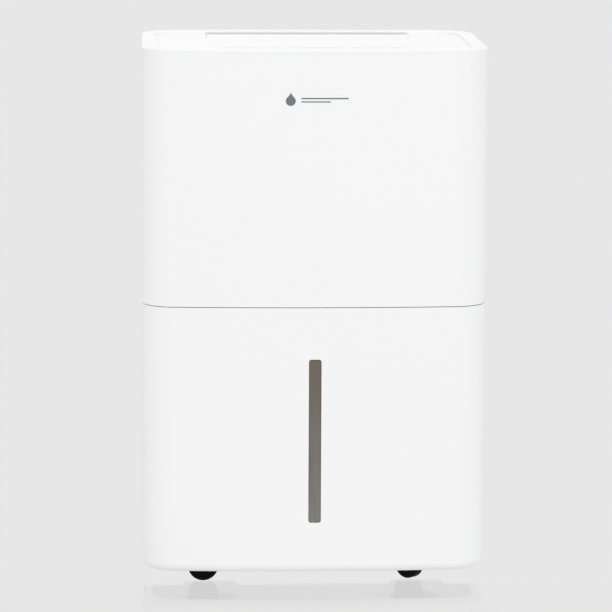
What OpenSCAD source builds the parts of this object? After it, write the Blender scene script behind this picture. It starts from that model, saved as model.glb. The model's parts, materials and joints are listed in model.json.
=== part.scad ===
// Free-standing dehumidifier with a pull-out front tank, a top air outlet and four swivel casters.
// Its front faces -Y and +Z is up. The origin is on the floor, under the middle of the casing.

/* [Casing] */
// Width of the casing, side to side
body_w = 392; // [320:1:480]
// Depth of the casing, front to back
body_d = 290; // [240:1:350]
// Height from the floor to the top rim
body_h = 616; // [510:1:745]
// Height of the casing's lower edge above the floor
floor_gap = 17; // [15:0.5:20]
// Height of the tank's front panel at the seam
panel_top = 323; // [310:1:335]
// Open seam above the tank's front panel
seam_gap = 1.2; // [0.8:0.1:2]
// Thickness of the moulded casing walls
wall = 2.5; // [2:0.1:3]
// Radius of the front corners, seen from above
front_r = 40; // [30:1:55]
// Radius of the rear corners, seen from above
rear_r = 50; // [30:1:55]
// How far the middle of the front stands proud of its ends
front_bow = 6; // [2:0.5:10]
// Rounding of the casing's lower edge
edge_r = 10; // [5:0.5:12]
// Distance from the front to the seam between the front and rear shells
side_seam = 66; // [58:1:80]
// Width of the shells' inward flanges at the seam
flange_w = 12; // [8:1:14]

/* [Top cover] */
// Thickness of the rim above the shells
rim_t = 3; // [2:0.5:4]
// Width of the raised rim around the lid
rim_w = 17; // [12:1:22]
// Depth of the lid below the rim
lid_drop = 3.5; // [2:0.5:4.5]
// Depth of the skirt that seats inside the shells
skirt_h = 13; // [8:1:18]
// Width of the air outlet
outlet_w = 241; // [180:1:250]
// Depth of the air outlet, flap and slot together
outlet_d = 70; // [55:1:80]
// Open slot behind the closed flap
outlet_slot = 10; // [7:0.5:12]
// Radius of the flap's hinge pins
flap_pin_r = 2; // [1.5:0.1:2.5]
// Number of slats in the outlet grille
slat_n = 17; // [9:2:21]

/* [Controls] */
// Width of the control panel
panel_w = 210; // [190:1:230]
// Depth of the control panel
panel_d = 46; // [40:1:56]
// Distance from the casing's front to the middle of the control panel
panel_y = 56; // [50:1:64]
// Radius of a push button
button_r = 7; // [5:0.5:8]
// Spacing of the push buttons
button_pitch = 23; // [21:0.5:25]
// Height of a button's cap above the lid
button_proud = 0.9; // [0.5:0.1:1.5]
// Travel of a push button
button_travel = 0.8; // [0.5:0.1:1]
// Width of the display window
display_w = 44; // [36:1:48]
// Depth of the display window
display_d = 18; // [14:1:22]

/* [Tank] */
// Height of the tub's floor
tub_floor = 52.6; // [52.2:0.1:56]
// Height of the tub's rim
tub_top = 262; // [250:1:264]
// Room left for fingers beside the tub
tub_side = 16; // [12:1:24]
// Width of the level window
window_w = 14.8; // [12:0.2:20]
// Lower end of the level window
window_z0 = 75; // [70:1:90]
// Upper end of the level window
window_z1 = 263.5; // [220:0.5:280]
// Corner radius of the level window
window_r = 2.6; // [1:0.2:5]
// Length of the bail handle's arms
bail_len = 44; // [36:1:45]
// Radius of the bail handle's pins
bail_pin_r = 3; // [2.5:0.1:3.5]
// Radius of the float's hinge pin
float_pin_r = 1.5; // [1.2:0.1:2]

/* [Casters] */
// Radius of a caster wheel
wheel_r = 17.5; // [16:0.5:17.5]
// Width of a caster wheel
wheel_w = 13; // [10:0.5:14]
// Distance from a caster's stem to its axle, seen from above
trail = 8.5; // [6:0.5:9]
// Radius of a caster's stem
stem_r = 4; // [3.5:0.1:5]
// Radius of a caster's axle
axle_r = 2.5; // [2:0.1:3]
// Distance from the casing's side to a stem
caster_x = 78; // [74:1:85]
// Distance from the casing's front to the front stems
caster_front = 45; // [44:1:55]
// Distance from the casing's back to the rear stems
caster_rear = 45; // [44:1:55]

/* [Rear] */
// Half width of the air intake
intake_x = 138; // [110:1:140]
// Depth of the pocket around the filter
intake_seat = 12; // [11:0.5:14]
// Radius of the hose outlet
spout_r = 8; // [6:0.5:9]
// Free length of the hose outlet
spout_len = 14; // [12:1:16]
// Radius of the hole through the cord gland
gland_bore_r = 4; // [3:0.25:5]
// Length of a side grip
grip_len = 92; // [80:1:100]
// Height of a side grip
grip_h = 34; // [28:1:40]
// Depth of a side grip
grip_depth = 20; // [16:1:20]

/* [Cooling circuit] */
// Depth of the compressor bay behind the tank
bay_d = 110; // [106:1:112]
// Radius of the compressor
compressor_r = 47; // [40:1:48]
// Height of the compressor's shell
compressor_h = 165; // [140:1:175]
// Thickness of each coil, front to back
coil_d = 24; // [20:1:24]
// Number of tube rows in each coil
coil_rows = 8; // [4:2:10]
// Radius of the coil tubes
tube_r = 4; // [3:0.25:4.5]
// Number of fins on each coil
fin_n = 36; // [12:1:40]

/* [Fan] */
// Depth of the fan scroll, front to back
scroll_d = 52; // [44:1:52]
// Radius of the fan shaft
shaft_r = 4; // [3:0.25:5]
// Number of blades
blade_n = 28; // [16:1:32]
// Radius of the fan motor
motor_r = 41; // [30:1:42]
// Length of the fan motor
motor_len = 46; // [36:1:48]

/* [Fits] */
// Gap around panels and covers that come off or move
gap = 0.6; // [0.4:0.05:0.8]
// Gap around pieces that stay put
seat = 0.3; // [0.2:0.05:0.4]
// Radial clearance of turning pins and shafts
run = 0.05; // [0.02:0.01:0.1]

/* [Hidden] */
$fn = 64;
FINE = 240;
eps = 0.01;

// Casing outline, seen from above
x_side = body_w / 2;
y_front = -body_d / 2;
y_back = body_d / 2;
chord = x_side - front_r;
bow_r = (chord * chord + front_bow * front_bow) / (2 * front_bow);
bow_y = y_front + bow_r;
bow_a = asin(chord / (bow_r - front_r));
corner_y = bow_y - (bow_r - front_r) * cos(bow_a);
seam_y = y_front + side_seam;

// Heights
rim_z = body_h - rim_t;
lid_z = body_h - lid_drop;
lid_under = lid_z - wall;
skirt_t = 2;
shell_z = panel_top + seam_gap;
deck_t = 3;
deck_z = shell_z + wall + 1.3;
deck_top = deck_z + deck_t;
pan_floor = floor_gap + wall + 1;
pan_t = 3;
pan_top = pan_floor + pan_t;
pan_inset = wall + 4.5;

// Air outlet
outlet_x = outlet_w / 2;
outlet_y1 = y_back - rim_w;
outlet_y0 = outlet_y1 - outlet_d;
slot_y = outlet_y1 - outlet_slot;
flap_pin_y = slot_y - 4;
flap_pin_z = lid_z - 6;
flap_pin_len = 3.5;
slat_h = 8;
slat_t = 1.6;
vane_z = flap_pin_z - 6.5 - slat_h;
duct_h = 36;
duct_z = vane_z - duct_h;

// Rear stack, from the back wall forward
seat_y = y_back - wall - intake_seat;
evap_y = seat_y - 4 - coil_d / 2;
cond_y = evap_y - coil_d - 4;
scroll_y1 = cond_y - coil_d / 2 - 6;
scroll_y0 = scroll_y1 - scroll_d;
filter_y = seat_y + 1;
intake_z0 = deck_top + 14;
intake_z1 = duct_z - 5;
coil_x = x_side - 30;
coil_z0 = deck_top + 7;
coil_z1 = duct_z - 5;
drip_z = deck_top + 1;
drip_h = 9;

// Compressor bay and the pipes
bulkhead_t = 2.5;
bulkhead_x = x_side - pan_inset - wall - seat;
bulkhead_y = y_back - wall - bay_d;
bay_y = y_back - wall - bay_d / 2;
compressor_x = 20;
feet_r = 58;
feet_ry = 37;
FEET = [for (a = [90, 210, 330]) [compressor_x + feet_r * cos(a), bay_y + feet_ry * sin(a)]];
feet_z = pan_top + 8;
shell_bottom = feet_z + 16;
compressor_top = shell_bottom + compressor_h;
riser_x = coil_x + 10;
riser_y = cond_y - 9;
liquid_x = coil_x + 19;
accumulator_top = shell_bottom + 120;
discharge_z = compressor_top + 26;
suction_z = compressor_top + 46;
suction_x = compressor_x - compressor_r - 26;
line_r = 3.2;
gas_r = 4;
tube_pitch = (coil_z1 - coil_z0 - 16) / (coil_rows - 1);
tube_z0 = coil_z0 + 8;
tube_end = coil_x - 4;
drier_x = compressor_x + compressor_r + 30;

// Electrics
elec_x0 = 10 - x_side;
elec_w = 66;
elec_h = 150;
elec_d = 50;
elec_y0 = y_front + 36;
elec_z0 = deck_top + 0.5;

// Fan
scroll_z0 = deck_top + 4;
scroll_r = min((duct_z - scroll_z0 - 12) / 2, x_side - wall - 12);
fan_z = scroll_z0 + scroll_r;
fan_r = scroll_r - 16;
scroll_t = 2;
wheel_gap = 6;

// Tank
tub_x = x_side - wall - tub_side;
tub_y0 = y_front + front_bow + wall + 4;
tub_y1 = bulkhead_y - 2;
tub_r = 28;
rail_x = 56;
lid_t = 3;
tank_lid_z = tub_top + lid_t;
bail_x = tub_x - 26;
bail_y = (tub_y0 + tub_y1) / 2 - 2;
bail_w = 10;
bail_t = 4;
bail_z = tank_lid_z + 1 + bail_w / 2;
ear_t = 4;
float_x = 30 - tub_x;
float_w = 30;
float_y = tub_y1 - wall - 58;
float_z = tub_top - 22;
inlet_x = -60;

// Casters
crown_t = 3;
crown_z = 2 * wheel_r + 2;
stem_top = crown_z + crown_t + 9;
well_r = norm([trail + wheel_r, wheel_w / 2]) + 1.6;
well_z = crown_z + crown_t + 1;
well_t = 2.5;
boss_top = stem_top + 2;
ear_gap = 0.5;
// name, side, distance along Y, turn of the wheel about its stem
CASTERS = [
    ["front_left", -1, y_front + caster_front, 180],
    ["front_right", 1, y_front + caster_front, 135],
    ["rear_left", -1, y_back - caster_rear, 205],
    ["rear_right", 1, y_back - caster_rear, 160]
];
stem_x = x_side - caster_x;

// Rear details
pocket_t = 2;
spout_x = -110;
spout_z = deck_z - 30;
spout_pocket = 38;
spout_depth = spout_len + 6;
spout_back = y_back - spout_depth - pocket_t;
hose_y = spout_back - spout_r - 4;
gland_x = 118;
gland_z = 96;
gland_pocket = 30;
gland_depth = 10;
grip_y = seam_y + 84;
grip_z = deck_top + 0.62 * (lid_under - deck_top);
screw_head_r = 4;
screw_x = x_side - rear_r - 8;
SCREWS = [for (x = [-1, 1], z = [floor_gap + 40, deck_z - 60, rim_z - 28]) [x * screw_x, z]];

// Controls
panel_mid = y_front + panel_y;
button_z0 = lid_under - seat - 1.5;
stem_h = 3.4;
board_t = 1.6;
switch_h = 2.1;
board_z = button_z0 - stem_h - button_travel - seat - switch_h - board_t;
// name and place along X, in button pitches; the display stands in the middle
BUTTONS = [
    ["button_power", -3.6], ["button_mode", -2.6], ["button_fan", -1.6],
    ["button_timer", 1.6], ["button_down", 2.6], ["button_up", 3.6]
];

// Outline of the casing, drawn in by an inset
module plan(inset = 0) {
    half = (bow_r - inset) * sin(bow_a);
    intersection() {
        translate([0, bow_y]) circle(r = bow_r - inset, $fn = FINE);
        translate([-half, y_front - 1]) square([2 * half, corner_y - y_front + 2]);
    }
    for (s = [-1, 1]) {
        translate([s * chord, corner_y]) circle(r = front_r - inset);
        translate([s * (x_side - rear_r), y_back - rear_r]) circle(r = rear_r - inset);
    }
    translate([inset - x_side, corner_y])
        square([2 * (x_side - inset), y_back - rear_r - corner_y]);
    translate([rear_r - x_side, corner_y])
        square([2 * (x_side - rear_r), y_back - inset - corner_y]);
}

// A solid of that outline between two heights
module slab(inset, z0, z1) {
    translate([0, 0, z0]) linear_extrude(z1 - z0) plan(inset);
}

// A rectangle whose two lower corners are rounded
module round_foot(half, z0, z1, r) {
    translate([-half, z0 + r]) square([2 * half, z1 - z0 - r]);
    translate([r - half, z0]) square([2 * (half - r), r + 1]);
    for (s = [-1, 1]) translate([s * (half - r), z0 + r]) circle(r = r);
}

// A slab whose lower edge is rounded on all four sides
module footed_slab(inset, z0, z1, r) {
    intersection() {
        slab(inset, z0, z1);
        translate([0, y_back + 1, 0]) rotate([90, 0, 0])
            linear_extrude(body_d + 2) round_foot(x_side - inset, z0, z1 + 1, r);
        translate([-x_side - 1, 0, 0]) rotate([90, 0, 90])
            linear_extrude(body_w + 2) round_foot(y_back - inset, z0, z1 + 1, r);
    }
}

// A box given by its lowest and highest corners
module box(low, high) {
    translate(low) cube(high - low);
}

// A rectangle with rounded corners, centred
module rrect(w, d, r) {
    square([w - 2 * r, d], center = true);
    square([w, d - 2 * r], center = true);
    for (x = [-1, 1], y = [-1, 1]) translate([x * (w / 2 - r), y * (d / 2 - r)]) circle(r = r);
}

// A plate of that outline, flat, between two heights
module plate(x, y, w, d, r, z0, z1) {
    translate([x, y, z0]) linear_extrude(z1 - z0) rrect(w, d, r);
}

// The same plate standing up, its faces to the front and the back
module upright(x, z, w, h, r, y0, y1) {
    translate([x, y1, z]) rotate([90, 0, 0]) linear_extrude(y1 - y0) rrect(w, h, r);
}

// A cylinder along X, and one along Y, between two places
module along_x(x0, x1, y, z, r) {
    translate([x0, y, z]) rotate([0, 90, 0]) cylinder(h = x1 - x0, r = r);
}
module along_y(x, y0, y1, z, r) {
    translate([x, y1, z]) rotate([90, 0, 0]) cylinder(h = y1 - y0, r = r);
}

// A round bar from one point to another
module bar(a, b, r) {
    v = b - a;
    translate(a) rotate([0, acos(v.z / norm(v)), atan2(v.y, v.x)]) cylinder(h = norm(v), r = r);
}

// A brazed pipe through a list of points
module pipe(points, r) {
    for (i = [0:len(points) - 2]) bar(points[i], points[i + 1], r);
    for (i = [1:len(points) - 2]) translate(points[i]) sphere(r = r * 1.2);
}

module before_seam() {
    intersection() {
        children();
        box([-body_w, -body_d, -1], [body_w, seam_y - gap / 2, body_h + 1]);
    }
}

module behind_seam() {
    intersection() {
        children();
        box([-body_w, seam_y + gap / 2, -1], [body_w, body_d, body_h + 1]);
    }
}

// Casing -------------------------------------------------------------------------------

module front_housing() {
    color("white") before_seam() difference() {
        slab(0, shell_z, rim_z);
        slab(wall, shell_z + wall, rim_z + 1);
        slab(wall + flange_w, shell_z - 1, shell_z + wall + 1);
    }
}

module side_pocket(s, grow, depth) {
    at = s * (x_side - depth / 2 + 0.5);
    translate([at, grip_y, grip_z]) rotate([90, 0, 90])
        linear_extrude(depth + 1, center = true) rrect(grip_len + grow, grip_h + grow, grip_h / 3);
}

module rear_housing() {
    intake_h = intake_z1 - intake_z0;
    intake_mid = (intake_z0 + intake_z1) / 2;
    color("white") {
        difference() {
            behind_seam() difference() {
                footed_slab(0, floor_gap, rim_z, edge_r);
                footed_slab(wall, floor_gap + wall, rim_z + 1, edge_r - wall);
                slab(edge_r + 2, floor_gap - 1, floor_gap + wall + 1);
            }
            upright(0, intake_mid, 2 * intake_x, intake_h, 8, y_back - wall - 1, y_back + 1);
            upright(spout_x, spout_z, spout_pocket, spout_pocket, 5, y_back - wall - 1, y_back + 1);
            upright(gland_x, gland_z, gland_pocket, gland_pocket, 5, y_back - wall - 1, y_back + 1);
            for (s = [-1, 1]) {
                side_pocket(s, 2 * seat, wall + 2);
                finger_notch(s);
            }
            for (p = SCREWS) along_y(p.x, y_back - wall - 1, y_back + 1, p.y, screw_head_r + 0.6);
        }
        // pocket that holds the filter
        difference() {
            upright(0, intake_mid, 2 * intake_x + 4, intake_h + 4, 10, seat_y, y_back - wall);
            upright(0, intake_mid, 2 * intake_x, intake_h, 8, seat_y - 1, y_back + 1);
        }
        back_pocket(spout_x, spout_z, spout_pocket, spout_depth, spout_r);
        back_pocket(gland_x, gland_z, gland_pocket, gland_depth, gland_bore_r + 3);
        for (p = SCREWS) screw_boss(p);
    }
}

module finger_notch(s) {
    translate([s * x_side, seam_y, (window_z0 + window_z1) / 2]) rotate([90, 0, 90])
        linear_extrude(6 * wall, center = true) rrect(36, 90, 12);
}

// A square pocket let into the back wall, with a round hole through its floor
module back_pocket(x, z, w, depth, hole_r) {
    difference() {
        upright(x, z, w + 2 * pocket_t, w + 2 * pocket_t, 6, y_back - depth - pocket_t, y_back - wall);
        upright(x, z, w, w, 5, y_back - depth, y_back + 1);
        along_y(x, y_back - depth - pocket_t - 1, y_back, z, hole_r + seat);
    }
}

module screw_boss(p) {
    difference() {
        along_y(p.x, y_back - wall - 9, y_back - wall, p.y, screw_head_r + 3);
        along_y(p.x, y_back - wall - 5, y_back, p.y, screw_head_r + 0.6);
        along_y(p.x, y_back - wall - 10, y_back, p.y, 1.8);
    }
}

module housing_screws() {
    color("dimgray") for (p = SCREWS) {
        difference() {
            along_y(p.x, y_back - wall - 5, y_back - wall - 2.2, p.y, screw_head_r);
            upright(p.x, p.y, 4.4, 1.1, 0.3, y_back - wall - 3.6, y_back);
            upright(p.x, p.y, 1.1, 4.4, 0.3, y_back - wall - 3.6, y_back);
        }
        along_y(p.x, y_back - wall - 17, y_back - wall - 5, p.y, 1.7);
    }
}

module side_grip(s) {
    color("gainsboro") difference() {
        intersection() {
            side_pocket(s, 0, grip_depth);
            slab(0.4, deck_z, rim_z);
        }
        translate([s * 0.5, 0, 0]) side_pocket(s, -4, grip_depth - 2);
    }
}
module left_grip() { side_grip(-1); }
module right_grip() { side_grip(1); }

module top_cover() {
    seat_in = wall + seat;
    color("white") {
        difference() {
            union() {
                slab(0, rim_z, body_h);
                slab(seat_in, lid_under, rim_z);
                difference() {
                    slab(seat_in, rim_z - skirt_h, lid_under);
                    slab(seat_in + skirt_t, rim_z - skirt_h - 1, lid_under);
                }
            }
            slab(rim_w, lid_z, body_h + 1);
            box([-outlet_x, outlet_y0, lid_under - 1], [outlet_x, outlet_y1, lid_z + 1]);
            plate(0, panel_mid, panel_w, panel_d, 8, lid_under - 1, lid_z + 1);
        }
        for (s = [-1, 1]) hinge_ear(s);
    }
}

module hinge_ear(s) {
    ear = flap_pin_len + 1;
    lug_r = flap_pin_r + 2.5;
    x0 = s > 0 ? outlet_x : -outlet_x - ear;
    difference() {
        union() {
            along_x(x0, x0 + ear, flap_pin_y, flap_pin_z, lug_r);
            box([x0, flap_pin_y - lug_r, flap_pin_z], [x0 + ear, flap_pin_y + lug_r, lid_under]);
        }
        along_x(x0 - 1, x0 + ear + 1, flap_pin_y, flap_pin_z, flap_pin_r + run);
    }
}

module base_pan() {
    color("lightgray") difference() {
        intersection() {
            slab(pan_inset, pan_floor, boss_top);
            union() {
                slab(pan_inset, pan_floor, pan_top);
                // rim inside the rear shell
                difference() {
                    box([-x_side, seam_y + 4, pan_floor], [x_side, y_back, tub_floor - 8]);
                    slab(pan_inset + wall, pan_floor - 1, tub_floor);
                }
                // rails that carry the tub
                for (s = [-1, 1])
                    box([s * rail_x - 2, tub_y0 + 4, pan_floor], [s * rail_x + 2, tub_y1, tub_floor - gap]);
                for (c = CASTERS) translate([c[1] * stem_x, c[2], pan_floor]) {
                    cylinder(h = well_z + well_t - pan_floor, r = well_r + well_t);
                    cylinder(h = boss_top - pan_floor, r = stem_r + 4);
                }
                // seats for the compressor's feet
                for (p = FEET) translate([p.x, p.y, pan_floor]) cylinder(h = feet_z - pan_floor, r = 9);
            }
        }
        for (c = CASTERS) translate([c[1] * stem_x, c[2], 0]) {
            translate([0, 0, pan_floor - 1]) cylinder(h = well_z - pan_floor + 1, r = well_r);
            translate([0, 0, well_z - 1]) cylinder(h = stem_top + 0.5 - well_z + 1, r = stem_r + run);
        }
        for (p = FEET) translate([p.x, p.y, pan_top + 1]) cylinder(h = 10, r = 3);
    }
}

module mid_deck() {
    color("lightgray") difference() {
        slab(wall + 1, deck_z, deck_top);
        translate([inlet_x, tub_y1 - 20, deck_z - 1]) cylinder(h = deck_t + 2, r = 8);
        translate([spout_x, hose_y, deck_z - 1]) cylinder(h = deck_t + 2, r = spout_r + 1);
        for (y = [evap_y, riser_y]) translate([riser_x, y, deck_z - 1]) cylinder(h = deck_t + 2, r = 6);
        translate([liquid_x, cond_y, deck_z - 1]) cylinder(h = deck_t + 2, r = 4);
    }
}

module bulkhead() {
    color("lightgray") {
        box([-bulkhead_x, bulkhead_y, pan_top], [bulkhead_x, bulkhead_y + bulkhead_t, deck_z]);
        for (s = [-1, 1]) box([s * 90 - 1, bulkhead_y + bulkhead_t, deck_z - 60], [s * 90 + 1, bulkhead_y + 16, deck_z]);
    }
}

// Top: flap, outlet grille, duct ---------------------------------------------------------

module outlet_flap() {
    lug_r = flap_pin_r + 2;
    color("white") {
        box([gap - outlet_x, outlet_y0 + gap, lid_under], [outlet_x - gap, slot_y, lid_z]);
        for (s = [-1, 1]) {
            x0 = s > 0 ? outlet_x - gap - 4 : gap - outlet_x;
            along_x(x0, x0 + 4, flap_pin_y, flap_pin_z, lug_r);
            box([x0, flap_pin_y - lug_r, flap_pin_z], [x0 + 4, flap_pin_y + lug_r - 0.5, lid_under + eps]);
            pin0 = s > 0 ? x0 + 4 : x0 - gap - flap_pin_len;
            along_x(pin0, pin0 + gap + flap_pin_len, flap_pin_y, flap_pin_z, flap_pin_r);
        }
        // stiffening ribs along the underside
        for (y = [outlet_y0 + 6, outlet_y0 + 26]) {
            box([10 - outlet_x, y, lid_under - 2.5], [outlet_x - 10, y + 1.6, lid_under + eps]);
        }
    }
}

module outlet_vanes() {
    x1 = outlet_x + 1.5;
    y0 = outlet_y0 - 1.5;
    y1 = outlet_y1 + 1.5;
    pitch = 2 * outlet_x / (slat_n + 1);
    color("gainsboro") {
        difference() {
            box([-x1 - 2, y0 - 2, vane_z], [x1 + 2, y1 + 2, vane_z + slat_h]);
            box([-x1, y0, vane_z - 1], [x1, y1, vane_z + slat_h + 1]);
        }
        for (i = [1:slat_n]) {
            x = i * pitch - outlet_x;
            box([x - slat_t / 2, y0 - eps, vane_z + 1], [x + slat_t / 2, y1 + eps, vane_z + slat_h]);
        }
        for (y = [outlet_y0 + outlet_d / 3, outlet_y0 + 2 * outlet_d / 3]) {
            box([-x1 - eps, y - 1, vane_z], [x1 + eps, y + 1, vane_z + 3]);
        }
    }
}

// Side view of the air duct: up from the scroll, then back under the outlet
module duct_side(inset) {
    polygon([
        [scroll_y0 + inset, duct_z - 1], [scroll_y1 - inset, duct_z - 1], [scroll_y1 - inset, duct_z + inset],
        [outlet_y1 - inset, vane_z - 14 + inset], [outlet_y1 - inset, vane_z + 1],
        [outlet_y0 + inset, vane_z + 1], [scroll_y0 + inset, duct_z + 8]
    ]);
}

module outlet_duct() {
    x1 = outlet_x + 2;
    color("whitesmoke") intersection() {
        difference() {
            translate([-x1, 0, 0]) rotate([90, 0, 90]) linear_extrude(2 * x1) duct_side(0);
            translate([scroll_t - x1, 0, 0]) rotate([90, 0, 90])
                linear_extrude(2 * (x1 - scroll_t)) duct_side(scroll_t);
        }
        box([-body_w, -body_d, duct_z], [body_w, body_d, vane_z]);
    }
}

// Controls -------------------------------------------------------------------------------

module control_panel() {
    w = panel_w - 2 * seat;
    d = panel_d - 2 * seat;
    color("whitesmoke") {
        difference() {
            union() {
                plate(0, panel_mid, w, d, 8 - seat, lid_under, lid_z);
                plate(0, panel_mid, w + 6, d + 6, 9, lid_under - 1.5, lid_under);
            }
            plate(0, panel_mid, w - 6, d - 6, 5, lid_under - 2, lid_under);
            plate(0, panel_mid, display_w, display_d, 2, lid_z - 1.5, lid_z + 1);
            plate(0, panel_mid, display_w - 4, display_d - 4, 1, lid_under - 2, lid_z + 1);
            for (b = BUTTONS) translate([b[1] * button_pitch, panel_mid, lid_under - 1])
                cylinder(h = wall + 2, r = button_r + seat);
        }
        // posts that carry the board
        for (x = [-1, 1], y = [-1, 1]) {
            translate([x * (panel_w / 2 - 6), panel_mid + y * (panel_d / 2 - 6), board_z + board_t])
                cylinder(h = lid_under - board_z - board_t, r = 2.6);
        }
    }
}

module display_window() {
    color([0.85, 0.86, 0.87])
        plate(0, panel_mid, display_w - 0.2, display_d - 0.2, 1.9, lid_z - 1.5, lid_z);
}

module control_board() {
    color("darkgreen") {
        plate(0, panel_mid, panel_w - 4, panel_d - 4, 3, board_z, board_z + board_t);
        for (b = BUTTONS) {
            x = b[1] * button_pitch;
            box([x - 3, panel_mid - 3, board_z + board_t - eps], [x + 3, panel_mid + 3, board_z + board_t + switch_h]);
        }
        // lamp block under the display
        box([-16, panel_mid - 5, board_z + board_t - eps], [16, panel_mid + 5, lid_under - 2.5]);
    }
}

module push_button(b) {
    color("gainsboro") translate([b[1] * button_pitch, panel_mid, 0]) {
        translate([0, 0, button_z0]) cylinder(h = 1.5, r = button_r + 1.5);
        translate([0, 0, button_z0 + 1]) cylinder(h = lid_z + button_proud - button_z0 - 1, r = button_r);
        translate([0, 0, button_z0 - stem_h]) cylinder(h = stem_h + 1, r = 2);
    }
}

// Tank -----------------------------------------------------------------------------------

module tank_front() {
    window_mid = (window_z0 + window_z1) / 2;
    color("white") before_seam() difference() {
        footed_slab(0, floor_gap, panel_top, edge_r);
        footed_slab(wall, floor_gap + wall, panel_top - wall, edge_r - wall);
        slab(edge_r + 2, floor_gap - 1, floor_gap + wall + 1);
        slab(wall + flange_w, panel_top - wall - 1, panel_top + 1);
        upright(0, window_mid, window_w, window_z1 - window_z0, window_r, y_front - 1, y_front + 20);
    }
}

module tank_window() {
    window_mid = (window_z0 + window_z1) / 2;
    h = window_z1 - window_z0;
    color([0.45, 0.41, 0.37, 0.8]) {
        intersection() {
            upright(0, window_mid, window_w - 0.2, h - 0.2, window_r - 0.1, y_front - 1, y_front + 20);
            difference() {
                slab(0.5, floor_gap, panel_top);
                slab(wall, floor_gap - 1, panel_top + 1);
            }
        }
        intersection() {
            upright(0, window_mid, window_w + 6, h + 6, window_r + 2, y_front - 1, y_front + 20);
            difference() {
                slab(wall, floor_gap, panel_top);
                slab(wall + 1.5, floor_gap - 1, panel_top + 1);
            }
        }
    }
}

module tank_tub() {
    w = 2 * tub_x;
    d = tub_y1 - tub_y0;
    y = (tub_y0 + tub_y1) / 2;
    color([0.86, 0.88, 0.9, 0.6]) {
        difference() {
            plate(0, y, w, d, tub_r, tub_floor, tub_top);
            plate(0, y, w - 2 * wall, d - 2 * wall, tub_r - wall, tub_floor + wall, tub_top + 1);
        }
        // ribs that join the tub to the front panel
        intersection() {
            slab(wall, tub_floor, tub_top);
            for (x = [-110, -50, 50, 110], z = [tub_floor + 12, tub_top - 40])
                box([x - 1.5, y_front, z], [x + 1.5, tub_y0, z + 28]);
        }
    }
}

module tank_lid() {
    w = 2 * tub_x;
    d = tub_y1 - tub_y0;
    y = (tub_y0 + tub_y1) / 2;
    color("whitesmoke") {
        difference() {
            plate(0, y, w, d, tub_r, tub_top, tank_lid_z);
            plate(inlet_x, tub_y1 - 24, 50, 34, 6, tub_top - 1, tank_lid_z + 1);
        }
        // lip that keeps the lid in the tub
        difference() {
            plate(0, y, w - 2 * wall - 1, d - 2 * wall - 1, tub_r - wall - 0.5, tub_top - 5, tub_top);
            plate(0, y, w - 2 * wall - 5, d - 2 * wall - 5, tub_r - wall - 2.5, tub_top - 6, tub_top + 1);
        }
        for (s = [-1, 1]) bail_ear(s);
        for (s = [-1, 1]) float_ear(s);
    }
}

// Ear on the tub's lid that carries one end of the bail handle
module bail_ear(s) {
    x0 = s > 0 ? bail_x - bail_t - gap - ear_t : gap + bail_t - bail_x;
    difference() {
        union() {
            along_x(x0, x0 + ear_t, bail_y, bail_z, bail_pin_r + 2.5);
            box([x0, bail_y - bail_pin_r - 2.5, tank_lid_z - eps], [x0 + ear_t, bail_y + bail_pin_r + 2.5, bail_z]);
        }
        along_x(x0 - 1, x0 + ear_t + 1, bail_y, bail_z, bail_pin_r + run);
    }
}

// Ear under the lid that carries one end of the float's pin
module float_ear(s) {
    x0 = float_x + s * (float_w / 2 + gap + 1) - 1;
    difference() {
        union() {
            along_x(x0, x0 + 2, float_y, float_z, float_pin_r + 2.5);
            box([x0, float_y - float_pin_r - 2.5, float_z], [x0 + 2, float_y + float_pin_r + 2.5, tub_top]);
        }
        along_x(x0 - 1, x0 + 3, float_y, float_z, float_pin_r + run);
    }
}

module tank_handle() {
    y1 = bail_y + bail_len;
    color("lightgray") {
        for (s = [-1, 1]) {
            x0 = s > 0 ? bail_x - bail_t : -bail_x;
            along_x(x0, x0 + bail_t, bail_y, bail_z, bail_w / 2);
            box([x0, bail_y, bail_z - bail_w / 2], [x0 + bail_t, y1, bail_z + bail_w / 2]);
            pin0 = s > 0 ? x0 - gap - ear_t : x0 + bail_t;
            along_x(pin0 - eps, pin0 + gap + ear_t + eps, bail_y, bail_z, bail_pin_r);
        }
        along_x(-bail_x, bail_x, y1, bail_z, bail_w / 2);
    }
}

module tank_float() {
    y1 = tub_y1 - wall - 6;
    color("orange") {
        difference() {
            box([float_x - float_w / 2, float_y + 10, float_z - 14], [float_x + float_w / 2, y1, float_z + 8]);
            along_y(float_x, y1 - 3, y1 + 1, float_z - 3, 5);
        }
        // magnet seated in the float's rear face
        along_y(float_x, y1 - 3, y1 - 0.4, float_z - 3, 4.6);
        box([float_x - 5, float_y, float_z - 3], [float_x + 5, float_y + 10 + eps, float_z + 3]);
        along_x(float_x - 5, float_x + 5, float_y, float_z, 3);
        along_x(float_x - float_w / 2 - gap - 2, float_x + float_w / 2 + gap + 2, float_y, float_z, float_pin_r);
    }
}

module tank_switch() {
    y0 = bulkhead_y + bulkhead_t;
    color("ivory") {
        box([float_x - 12, y0, float_z - 11], [float_x + 12, y0 + 9, float_z + 5]);
        for (s = [-1, 1]) box([float_x + s * 16 - 5, y0, float_z - 7], [float_x + s * 16 + 5, y0 + 2, float_z + 1]);
    }
}

// Rear intake ----------------------------------------------------------------------------

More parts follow.
